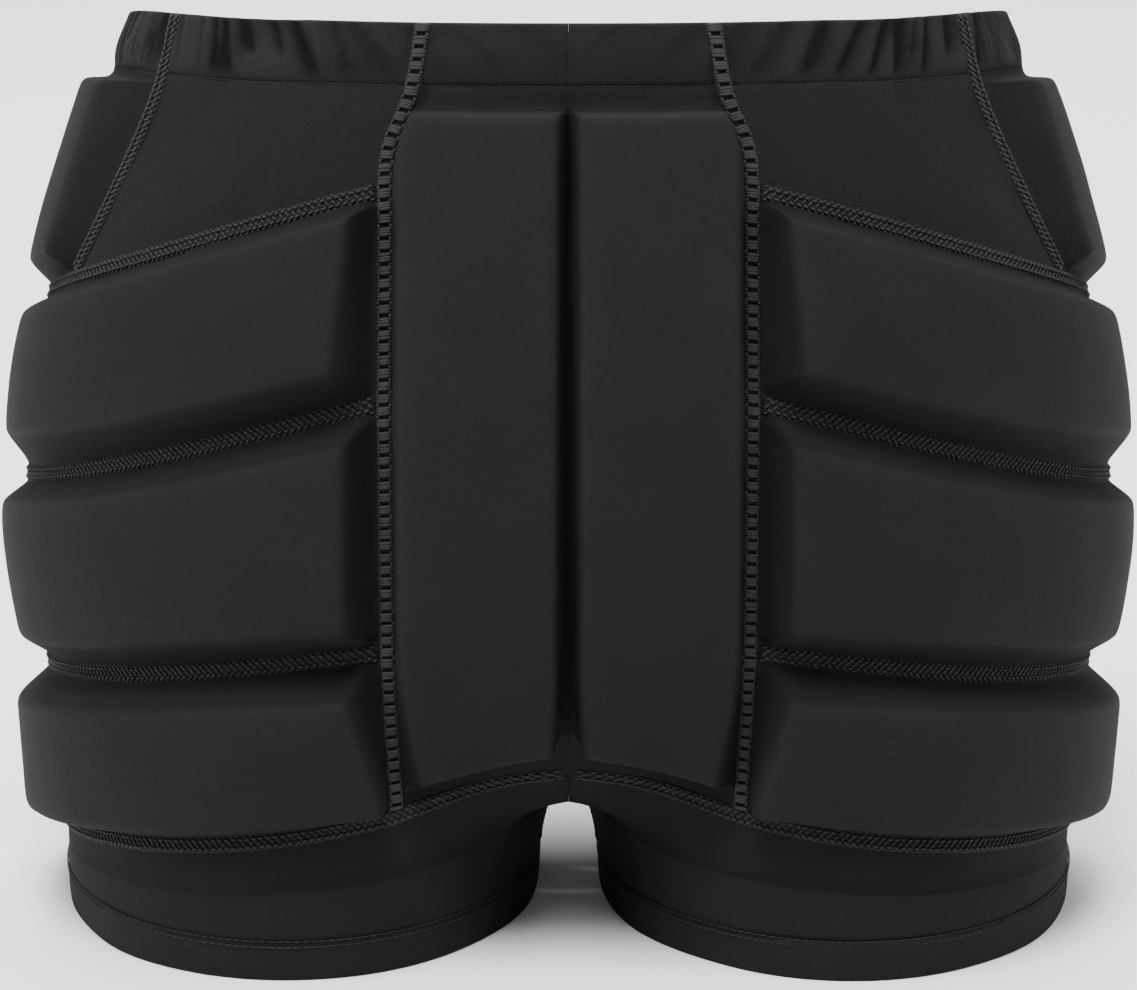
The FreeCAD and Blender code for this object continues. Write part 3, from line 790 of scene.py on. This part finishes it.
def gathers(angle, share, seed):
    """Folds drawn up by the elastic: sharp slanting creases between soft bulges."""
    chance = np.random.default_rng(seed)
    along = np.radians(angle + 180) * 0.085
    strong = smooth_through(angle, [
        (-140.0, 0.12), (-118.0, 0.30), (-95.0, 0.85), (-45.0, 1.0), (10.0, 1.0), (60.0, 0.7),
        (128.0, 0.45)])
    places = np.stack([along, share * 0.012, 0.0 * along], -1)
    fold = ripple(places, 0.024, seed) * 0.0006
    place = 0.045
    while place < 0.45:
        close = 0.36 if SIDE_GATHERS[0] < place < SIDE_GATHERS[1] else 1.0
        place += chance.uniform(0.007, 0.015) * close
        slant = chance.uniform(0.004, 0.013) * close
        depth = chance.uniform(0.35, 1.0) * GATHER_DEPTH * close ** 0.6
        bottom = chance.uniform(-0.4, 0.35)
        distance = along - place - slant * (share - 0.5) - 0.004 * (share - 0.6) ** 2
        width = np.where(distance < 0, 0.0013, 0.0042) * close ** 0.7
        fold = fold - depth * np.exp(-np.abs(distance) / width) * ease((share - bottom) / 0.3)
    return np.maximum(fold + 0.0007, FOLD_FLOOR) * strong


def casing_section():
    """Offsets, puff, heights and share of folds round the casing, from its stitched edge."""
    outer_v = np.linspace(0.0, 1.0, 11)
    bend = np.linspace(0.0, math.pi, 9)[1:-1]
    rim = RIM_ROUNDING / CASING_HEIGHT
    puff = np.sin(outer_v * math.pi) ** 1.3
    offsets = np.concatenate([
        FABRIC + 0.0 * puff,
        FABRIC - RIM_ROUNDING + RIM_ROUNDING * np.cos(bend),
        FABRIC - 2 * RIM_ROUNDING + 0.0 * puff])
    puffs = np.concatenate([0.0010 * puff, 0.0 * bend, -0.0003 * puff[::-1]])
    shares = np.concatenate([
        outer_v * (1 - rim), 1 - rim + rim * np.sin(bend), outer_v[::-1] * (1 - rim)])
    weight = np.concatenate([
        ease(outer_v * 3.3), np.cos(bend / 2) ** 2, 0.0 * outer_v])
    return offsets, puffs, shares, weight


def side_faces(a, b):
    """Faces between neighbouring closed sections, given by the numbers of their points."""
    return np.stack([a, b, np.roll(b, -1, -1), np.roll(a, -1, -1)], -1).reshape(-1, 4)


def casing_piece(name, node, place, finish, mirror, seed):
    width = run(place, 0.5, True)
    columns = max(12, round(width / 0.0011))
    offsets, puffs, shares, weight = casing_section()
    u = np.linspace(0, 1, columns)[:, None] + np.zeros((1, len(shares)))
    v = shares[None, :] + np.zeros((columns, 1))
    angle, height = place(u, v)
    fold = gathers(angle, v, seed) * weight[None, :]
    ends = ease(np.minimum(u, 1 - u) * width / 0.005)
    rows = raised(angle, height, offsets[None, :] + (fold + puffs[None, :]) * ends)
    length = len(shares)
    index = np.arange(columns * length).reshape(columns, length)
    faces = [*side_faces(index[:-1], index[1:]), index[0], index[-1, ::-1]]
    coords = cloth_coordinates(rows).reshape(-1, 2)
    # Painted shade and light: the creases of the gathers are coloured darker and their bulges lighter,
    # through the per-point attribute that the knit reads.
    shade = (np.clip(fold / 0.0008, -1.0, 0.5) * CREASE_SHADE).ravel()
    piece = make_piece(name, rows.reshape(-1, 3), faces, finish, coords, shade, mirror)
    settle(piece, "body_knit", node)


def elastic_piece(finish):
    """The elastic inside the casing, one closed band round the waist."""
    back, front = centre_back_angle(np.float64(0.31)), centre_front_angle(np.float64(0.28))
    angles = np.linspace(float(back), float(front), 200)
    u = angles[:, None] + np.zeros((1, 6))
    share = np.linspace(*ELASTIC_SHARES, 6)[None, :] + np.zeros((200, 1))
    height = rim_height(u) - (1 - share) * CASING_HEIGHT
    outer = raised(u, height, np.full_like(u, -FIT - ELASTIC_LAYERS[0]))
    inner = raised(u, height, np.full_like(u, -FIT - ELASTIC_LAYERS[1]))
    outer[[0, -1], :, 0] = 0.0
    inner[[0, -1], :, 0] = 0.0
    ring_outer = np.concatenate([outer, (outer * FLIP)[-2:0:-1]])
    ring_inner = np.concatenate([inner, (inner * FLIP)[-2:0:-1]])
    columns, rows = ring_outer.shape[:2]
    count = columns * rows
    index = np.arange(count).reshape(columns, rows)
    after = np.roll(index, -1, 0)
    low = np.stack([index[:, 0], index[:, 0] + count, after[:, 0] + count, after[:, 0]], -1)
    high = np.stack([index[:, -1], after[:, -1], after[:, -1] + count, index[:, -1] + count], -1)
    faces = np.concatenate([
        grid_faces(columns, rows, 0, True), grid_faces(columns, rows, count, True)[:, ::-1], low, high])
    coords = cloth_coordinates(ring_outer).reshape(-1, 2)
    points = np.concatenate([ring_outer.reshape(-1, 3), ring_inner.reshape(-1, 3)])
    piece = make_piece("waist_elastic_band", points, faces, finish, np.concatenate([coords, coords]))
    settle(piece, "elastic_band", "waist_elastic")


# ---------------------------------------------------------------- hems


def hem_piece(name, node, finish, mirror, seed):
    """A folded hem: two layers with a rolled lower edge, stitched at its top."""
    turns = np.linspace(-180.0, 180.0, 241)[:-1]
    bend = np.linspace(0.0, math.pi, 7)[1:-1]
    up = np.linspace(0.0, 1.0, 8)
    roll = 0.0010
    middle = -0.0002
    offsets = np.concatenate([middle + roll + 0.0004 * np.sin(math.pi * up[::-1]),
                              middle + roll * np.cos(bend),
                              middle - roll + 0.0 * up])
    heights = np.concatenate([roll + (HEM_HEIGHT - roll) * up[::-1],
                              roll * (1 - np.sin(bend)),
                              roll + (HEM_HEIGHT - roll) * up])
    angle = turns[:, None] + np.zeros((1, len(offsets)))
    height = heights[None, :] + np.zeros((len(turns), 1))
    base = skin(angle, height)
    wave = ripple(base * np.array([1, 1, 0.3]), 0.06, seed) * 0.0006
    rows = base + outward(angle, height) * (offsets[None, :] + wave)[..., None]
    rows[..., 2] = np.maximum(rows[..., 2], 0.0)
    columns, length = rows.shape[:2]
    index = np.arange(columns * length).reshape(columns, length)
    a, b = index, np.roll(index, -1, 0)
    quads = np.stack([a, np.roll(a, -1, 1), np.roll(b, -1, 1), b], -1).reshape(-1, 4)
    coords = cloth_coordinates(rows).reshape(-1, 2)
    piece = make_piece(name, rows.reshape(-1, 3), quads, finish, coords, None, mirror)
    settle(piece, "body_knit", node)


def stitch_rows(name, node, lines, mirror, rise, pitch=0.0026, radius=0.00022):
    """Rows of short threads that dip into the cloth. With mirror None, both halves are made."""
    points, faces, done = [], [], 0
    bead = np.linspace(-1, 1, 5)
    for line, first, last in lines:
        place, length = ribbon(line)
        count = max(1, int((length - first - last) / pitch))
        centres = first + (length - first - last) * (np.arange(count) + 0.5) / count
        along = centres[:, None] + bead[None, :] * pitch * 0.40
        angle, height = place(along, 0.0 * along)
        offset = rise + radius * (1.1 - 1.6 * bead ** 2)
        path = raised(angle, height, np.broadcast_to(offset, along.shape))
        made, loops = tubes(path, outward(angle, height), radius)
        points.append(made)
        faces += [face + done for face in loops]
        done += len(made)
    points = np.concatenate(points)
    if mirror is None:
        faces = faces + [face[::-1] + done for face in faces]
        points = np.concatenate([points, points * FLIP])
    piece = make_piece(name, points, faces, stitch_thread, None, np.ones(len(points)), bool(mirror))
    settle(piece, "covering_thread", node)


# ---------------------------------------------------------------- finishes

LIFT = 0.0002


class Value:
    """A shader socket. Plain arithmetic on it adds Math nodes."""

    def __init__(self, finish, socket):
        self.finish = finish
        self.socket = socket

    def maths(self, operation, first, second):
        return self.finish.node("ShaderNodeMath", {"operation": operation}, {0: first, 1: second})

    def __add__(self, other):
        return self.maths("ADD", self, other)

    __radd__ = __add__

    def __mul__(self, other):
        return self.maths("MULTIPLY", self, other)

    __rmul__ = __mul__

    def __sub__(self, other):
        return self.maths("SUBTRACT", self, other)

    def __rsub__(self, other):
        return self.maths("SUBTRACT", other, self)

    def __pow__(self, other):
        return self.maths("POWER", self, other)


class Finish:
    """One material of the shorts and the nodes that make it."""

    def __init__(self, name):
        self.material = bpy.data.materials.new(name)
        self.material.use_nodes = True
        self.tree = self.material.node_tree
        self.tree.nodes.clear()

    def node(self, kind, settings, inputs, output=0):
        made = self.tree.nodes.new(kind)
        for key, value in settings.items():
            setattr(made, key, value)
        for key, value in inputs.items():
            if isinstance(value, Value):
                self.tree.links.new(value.socket, made.inputs[key])
            else:
                made.inputs[key].default_value = value
        return Value(self, made.outputs[output]) if output is not None else None

    def cloth(self):
        """Metres across and along the cloth laid flat."""
        return self.node("ShaderNodeUVMap", {"uv_map": "cloth"}, {})

    def space(self):
        return self.node("ShaderNodeTexCoord", {}, {}, "Object")

    def noise(self, place, size, detail=2.0, roughness=0.5):
        inputs = {"Vector": place, "Scale": 1 / size, "Detail": detail, "Roughness": roughness}
        return self.node("ShaderNodeTexNoise", {}, inputs)

    def dots(self, place, pitch):
        """Distance to the nearest of many evenly spread points, from 0 upwards."""
        inputs = {"Vector": place, "Scale": 1 / pitch, "Randomness": 0.12}
        return self.node("ShaderNodeTexVoronoi", {}, inputs, "Distance")

    def parts(self, place):
        split = self.node("ShaderNodeSeparateXYZ", {}, {"Vector": place}, 0)
        return split, Value(self, split.socket.node.outputs[1])

    def ribs(self, along, pitch):
        turn = along * (2 * math.pi / pitch)
        return self.node("ShaderNodeMath", {"operation": "SINE"}, {0: turn})

    def mixed(self, share, first, second):
        return self.node("ShaderNodeMix", {"data_type": "RGBA"}, {0: share, 6: first, 7: second}, 2)

    def surface(self, colour, roughness, relief, depth, **plain):
        normal = self.node("ShaderNodeBump", {}, {"Distance": depth, "Height": relief})
        inputs = {"Base Color": colour, "Roughness": roughness, "Normal": normal, **plain}
        shader = self.node("ShaderNodeBsdfPrincipled", {}, inputs)
        self.node("ShaderNodeOutputMaterial", {}, {"Surface": shader}, None)
        return self.material


def grey(level, warmth=0.0):
    return (level * (1 + warmth), level, level * (1 - warmth), 1.0)


def knit(name, level, rib_pitch, rib_depth):
    """Black stretch knit: fine loops, faint broken ribs, and painted light from a per-point attribute: a
    painted highlight on the pads' edges and painted shade in the waistband's creases.
    """
    finish = Finish(name)
    cloth = finish.cloth()
    across, along = finish.parts(cloth)
    loops = finish.ribs(across, 0.00062) * finish.ribs(along, 0.00052)
    pulled = finish.noise(cloth, 0.04, 1.0)
    ribs = finish.ribs(along + pulled * 0.012, rib_pitch) * finish.noise(cloth, 0.05, 1.0) ** 3.0
    grain = finish.noise(cloth, 0.0010, 3.0, 0.65)
    fleck = finish.noise(cloth, 0.0024, 2.0)
    mottle = finish.noise(cloth, 0.035, 3.0)
    # The per-point attribute lightens the colour as painted highlight and darkens it as painted shade; it
    # also lowers the roughness where it is high.
    painted_light_and_threads = finish.node("ShaderNodeAttribute", {"attribute_name": "painted_light_and_threads"}, {}, "Fac")
    share = grain * 0.8 + fleck * 0.45 + mottle * 0.35 + ribs * 0.10 + painted_light_and_threads * 0.25 - 0.3
    colour = finish.mixed(share, grey(level * 0.35, 0.01), grey(level * 2.0, -0.01))
    roughness = 0.78 + grain * 0.16 - painted_light_and_threads * 0.08
    relief = loops * 0.15 + grain * 2.2 + fleck * 1.2 + ribs * rib_depth
    return finish.surface(colour, roughness, relief, 0.00022, **{
        "Sheen Weight": 0.008, "Sheen Roughness": 0.4, "Specular IOR Level": 0.10})


def thread(name, level):
    """Bulky textured thread, a little glossier than the knit."""
    finish = Finish(name)
    place = finish.space()
    twist = finish.noise(place, 0.0006, 2.0, 0.6)
    shade = finish.noise(place, 0.006, 2.0)
    threads = finish.node("ShaderNodeAttribute", {"attribute_name": "painted_light_and_threads"}, {}, "Fac")
    share = (twist * 0.5 + shade * 0.3 + 0.2) * threads
    colour = finish.mixed(share, grey(level * 0.22), grey(level * 1.7))
    return finish.surface(colour, 0.52 + twist * 0.2, twist, 0.0002, **{
        "Sheen Weight": 0.01, "Sheen Roughness": 0.4, "Specular IOR Level": 0.14})


def mesh_lining(name):
    """Warp-knit lining with small open holes."""
    finish = Finish(name)
    cloth = finish.cloth()
    grain = finish.noise(cloth, 0.0011, 2.0)
    hole = finish.node("ShaderNodeMapRange", {}, {
        "Value": finish.dots(cloth, 0.0026), "From Min": 0.20, "From Max": 0.34})
    colour = finish.mixed(hole, grey(0.004), finish.mixed(grain, grey(0.018), grey(0.042)))
    return finish.surface(colour, 0.86 - grain * 0.1, hole + grain * 0.3, 0.0003, **{
        "Sheen Weight": 0.08, "Specular IOR Level": 0.3})


def cell_foam(name):
    finish = Finish(name)
    place = finish.space()
    cells = finish.node("ShaderNodeTexVoronoi", {}, {"Vector": place, "Scale": 1 / 0.0014}, "Distance")
    shade = finish.noise(place, 0.02)
    colour = finish.mixed(cells * 0.6 + shade * 0.4, grey(0.025), grey(0.11, 0.02))
    return finish.surface(colour, 0.95 - cells * 0.1, cells, 0.0006, **{"Specular IOR Level": 0.25})


def woven_elastic(name):
    finish = Finish(name)
    cloth = finish.cloth()
    across, along = finish.parts(cloth)
    cords = finish.ribs(along, 0.0016)
    yarn = finish.ribs(across, 0.0009)
    shade = finish.noise(cloth, 0.012)
    colour = finish.mixed(shade * 0.6 + cords * 0.2 + 0.2, grey(0.05), grey(0.16))
    return finish.surface(colour, 0.7 + yarn * 0.05, cords + yarn * 0.4, 0.0003, **{"Sheen Weight": 0.1})


def satin_tape(name):
    finish = Finish(name)
    cloth = finish.cloth()
    across, along = finish.parts(cloth)
    weave = finish.ribs(across, 0.0005) * finish.ribs(along, 0.0004)
    shade = finish.noise(cloth, 0.008)
    colour = finish.mixed(shade, grey(0.30), grey(0.40))
    return finish.surface(colour, 0.4 + weave * 0.08, weave, 0.0001, **{"Sheen Weight": 0.2})


def studio_paper(name):
    finish = Finish(name)
    place = finish.space()
    fibre = finish.noise(place, 0.004, 3.0)
    shade = finish.noise(place, 0.8)
    colour = finish.mixed(fibre * 0.3 + shade * 0.3, grey(0.84), grey(0.88))
    return finish.surface(colour, 0.9 - fibre * 0.05, fibre, 0.00005, **{"Specular IOR Level": 0.2})


body_knit = knit("body_knit", 0.0056, 0.0021, 0.12)
cover_knit = knit("pad_cover_knit", 0.0044, 0.0022, 0.45)
band_knit = knit("waistband_knit", 0.0052, 0.0018, 0.1)
stitch_thread = thread("covering_thread", 0.0165)
lining_mesh = mesh_lining("lining_mesh")
foam_block = cell_foam("pad_foam")
elastic_weave = woven_elastic("elastic_band")
label_satin = satin_tape("label_tape")

# ---------------------------------------------------------------- the pieces

RIM_TRIM = 0.0009
HEM_TRIM = 0.0015
HEM_STITCH_HEIGHTS = (0.0122, 0.0142)
LABEL_EDGES = (0.008, 0.032)
LABEL_HEIGHT = 0.030
LABEL_BELOW_CASING = 0.006
LABEL_THICKNESS = 0.0004
LABEL_CLEARANCE = 0.0006
FEET = (BRIM, BRIM, BRIM, BRIM)
SEAT_PAD_FEET = ((0.0022, 0.0004), BRIM, (0.0170, 0.0094), 0.0085)
SEAT_PAD_EDGES = (0.0012, 0.0040, 0.0050, 0.0030)
UPPER_PAD_EDGES = ((0.0110, 0.0030), 0.0060, 0.0100, 0.0060)
MIDDLE_PAD_EDGES = ((0.0060, 0.0050), 0.0060, 0.0090, 0.0070)
LOWER_PAD_EDGES = ((0.0040, 0.0090), 0.0060, 0.0014, 0.0090)
HIP_PAD_EDGES = ((0.0080, 0.0260), 0.0060, 0.0060, 0.0020)

upper_row = four_sided(seat_seam_angle, front_seam_angle, middle_seam, upper_seam)
middle_row = four_sided(seat_seam_angle, front_seam_angle, lower_seam, middle_seam)
lower_row = four_sided(seat_seam_angle, front_seam_angle, leg_seam, lower_seam)
seat_area = four_sided(centre_back_angle, seat_seam_angle, leg_seam, casing_line)
hip_area = four_sided(hip_seam_angle, front_seam_angle, upper_seam, casing_line)
yoke_area = four_sided(seat_seam_angle, hip_seam_angle, upper_seam, casing_line)
lining_area = four_sided(centre_back_angle, front_seam_angle, leg_seam, casing_line)
casing_areas = {
    "seat": four_sided(centre_back_angle, seat_seam_angle, casing_line, rim_height),
    "yoke": four_sided(seat_seam_angle, hip_seam_angle, casing_line, rim_height),
    "side": four_sided(hip_seam_angle, front_seam_angle, casing_line, rim_height),
    "front": four_sided(front_seam_angle, centre_front_angle, casing_line, rim_height)}


def make_pads(side, mirror, seed):
    padded = [
        ("seat", seat_area, SEAT_PAD_FEET, SEAT_PAD_EDGES, FOAM, 0.0008),
        ("side_upper", upper_row, FEET, UPPER_PAD_EDGES, SIDE_FOAM, 0.0008),
        ("side_middle", middle_row, FEET, MIDDLE_PAD_EDGES, SIDE_FOAM, 0.0008),
        ("side_lower", lower_row, FEET, LOWER_PAD_EDGES, LOWER_FOAM, 0.0006),
        ("hip", hip_area, FEET, HIP_PAD_EDGES, HIP_FOAM, 0.0004)]
    for number, (name, area, feet, edges, foam, crown) in enumerate(padded):
        cover_piece(f"{name}_{side}_cover", f"{name}_cover_{side}", PadGrid(area, feet, edges),
                    foam, crown, mirror, seed + 10 * number)
        foam_feet = [spread_more(foot, FOAM_MARGIN) for foot in feet]
        foam_piece(f"{name}_{side}_foam", f"{name}_pad_{side}", PadGrid(area, foam_feet, edges),
                   foam, crown, mirror)


def yoke_drape(base, seed, u, v):
    """Folds that run down from the waistband and soft waves below them."""
    turn = np.degrees(np.arctan2(base[..., 1], base[..., 0] - leg_x))
    turn = np.where(turn > 140, turn - 360, turn)
    below = (1 - v) * YOKE_FOLD_DROP
    folds = gathers(turn, np.zeros_like(turn), seed) * 0.3 * np.exp(-below / 0.005)
    return folds + ripple(base, 0.03, seed + 5) * 0.0004 * v * (1 - v) * 4


def away_from_edges(u, v, across, upwards):
    return ease(np.minimum(v, 1 - v) * upwards) * ease(np.minimum(u, 1 - u) * across)


def leg_drape(base, seed, u, v):
    return ripple(base * np.array([1.0, 1.0, 0.5]), 0.05, seed + 6) * 0.0009 * away_from_edges(u, v, 12, 4)


def front_drape(base, seed, u, v):
    return ripple(base, 0.07, seed + 7) * 0.0016 * away_from_edges(u, v, 8, 8)


def make_panels(side, mirror, seed):
    panels = (("yoke", "yoke_panel", yoke_area, 70, 24, yoke_drape),
              ("leg_back", "leg_panel", leg_place(), 120, 26, leg_drape),
              ("front", "front_panel", front_place(), 60, 90, front_drape))
    for name, node, area, columns, rows, drape in panels:
        panel_piece(f"{name}_{side}", "body_knit", f"{node}_{side}", area, columns, rows, body_knit,
                    mirror, lambda base, u, v, drape=drape: drape(base, seed, u, v))
    panel_piece(f"lining_{side}", "lining_mesh", f"pad_lining_{side}", lining_area, 90, 50, lining_mesh,
                mirror, None, -FIT - LINING, LINING)


def make_waistband(side, mirror, seed):
    for name, area in casing_areas.items():
        casing_piece(f"waistband_{name}_{side}", f"waistband_{name}_{side}", area, band_knit, mirror, seed)


def make_seams(side, mirror):
    joint = SEAM_WIDTH / 2
    rising = (("seat", seat_seam_angle, leg_seam, joint), ("hip", hip_seam_angle, upper_seam, joint),
              ("front", front_seam_angle, hem_line, HEM_TRIM))
    for name, angle_at, low_seam, trim in rising:
        stitched_seam(f"{name}_stitches_{side}", f"{name}_seam_{side}",
                      upright(angle_at, low_seam, rim_height), mirror, (trim, RIM_TRIM),
                      lift=LIFT, ladder=name == "seat")
    stitched_seam(f"inseam_stitches_{side}", f"inseam_{side}", inseam_line(180.0), mirror,
                  (HEM_TRIM, 0.003))
    rows = (("upper", upper_seam), ("middle", middle_seam), ("lower", lower_seam), ("leg", leg_seam))
    for name, height_at in rows:
        angle_at, trim = (centre_back_angle, 0.0004) if name == "leg" else (seat_seam_angle, joint)
        start = upright(angle_at, height_at, height_at)(0.0)
        line = level(height_at, start, (FRONT_SEAM, height_at(np.float64(FRONT_SEAM))))
        stitched_seam(f"{name}_stitches_{side}", f"{name}_seam_{side}", line, mirror, (trim, joint))


def make_centre_front():
    top = meet(centre_front_angle, rim_height, HEIGHT)
    line = from_crotch(front_angle, top)
    for mirror, side in ((False, "right"), (True, "left")):
        stitched_seam(f"centre_front_stitches_{side}", "centre_front_seam", line, mirror,
                      (0.0006, RIM_TRIM), half_only=True, seed=7)


def make_waist_stitching():
    lines = []
    joint = SEAM_WIDTH / 2 + 0.0004
    for name, area in casing_areas.items():
        start, end = area(0.0, 0.0), area(1.0, 0.0)
        first = 0.0006 if name == "seat" else joint
        lines.append((level(casing_line, start, end), first, joint))
    stitch_rows("waist_stitches", "waist_stitching", lines, None, FABRIC, 0.0024, 0.00017)


def ring_line(height):
    def line(share):
        return -180.0 + 360.0 * share, height + 0.0 * share
    return line


def make_hems(side, mirror, seed):
    hem_piece(f"hem_{side}", f"hem_band_{side}", body_knit, mirror, seed)
    lines = [(ring_line(height), 0.0, 0.0) for height in HEM_STITCH_HEIGHTS]
    stitch_rows(f"hem_stitches_{side}", f"hem_stitching_{side}", lines, mirror, FABRIC + 0.0003)


def make_label():
    top = float(casing_line(centre_back_angle(np.float64(HEIGHT)))) - LABEL_BELOW_CASING
    area = four_sided(
        lambda height: back_angle(LABEL_EDGES[0], height),
        lambda height: back_angle(LABEL_EDGES[1], height),
        lambda angle: top - LABEL_HEIGHT + 0.0 * angle, lambda angle: top + 0.0 * angle)
    panel_piece("size_tape", "label_tape", "size_label", area, 24, 28, label_satin, False,
                None, -FIT - LINING - LABEL_CLEARANCE, LABEL_THICKNESS)


for side, mirror, seed in (("right", False, 100), ("left", True, 300)):
    make_pads(side, mirror, seed)
    make_panels(side, mirror, seed)
    make_waistband(side, mirror, seed)
    make_seams(side, mirror)
    make_hems(side, mirror, seed)
make_centre_front()
make_waist_stitching()
elastic_piece(elastic_weave)
centre_binding(body_knit)
make_label()

# ---------------------------------------------------------------- studio

FLOOR_RADIUS = 14
FLOOR_SIDES = 96


def make_floor():
    mesh = bpy.data.meshes.new("studio_floor")
    turn = np.arange(FLOOR_SIDES) * 2 * math.pi / FLOOR_SIDES
    ring = [(FLOOR_RADIUS * math.cos(t), FLOOR_RADIUS * math.sin(t), 0.0) for t in turn]
    mesh.from_pydata(ring, [], [list(range(FLOOR_SIDES))])
    mesh.materials.append(studio_paper("studio_paper"))
    floor = bpy.data.objects.new("studio_floor", mesh)
    bpy.context.scene.collection.objects.link(floor)


def soft_light(name, place, aim, width, power):
    light = bpy.data.lights.new(name, "AREA")
    light.shape = "SQUARE"
    light.size = width
    light.energy = power
    lamp = bpy.data.objects.new(name, light)
    lamp.location = place
    lamp.rotation_euler = (Vector(aim) - Vector(place)).to_track_quat("-Z", "Y").to_euler()
    bpy.context.scene.collection.objects.link(lamp)


def make_world():
    world = bpy.data.worlds.new("studio")
    bpy.context.scene.world = world
    world.use_nodes = True
    background = world.node_tree.nodes["Background"]
    background.inputs["Color"].default_value = (1.0, 1.0, 1.0, 1.0)
    background.inputs["Strength"].default_value = 0.62


make_floor()
make_world()
soft_light("key", (-0.4, -1.4, 2.8), (0.0, 0.0, 0.15), 1.6, 190.0)
soft_light("back_wash", (0.0, 2.6, 3.2), (0.0, 2.4, 0.0), 3.0, 260.0)
soft_light("left_fill", (-2.6, -0.7, 0.9), (0.0, 0.0, 0.15), 1.2, 50.0)
soft_light("right_fill", (2.6, -0.7, 0.9), (0.0, 0.0, 0.15), 1.2, 40.0)
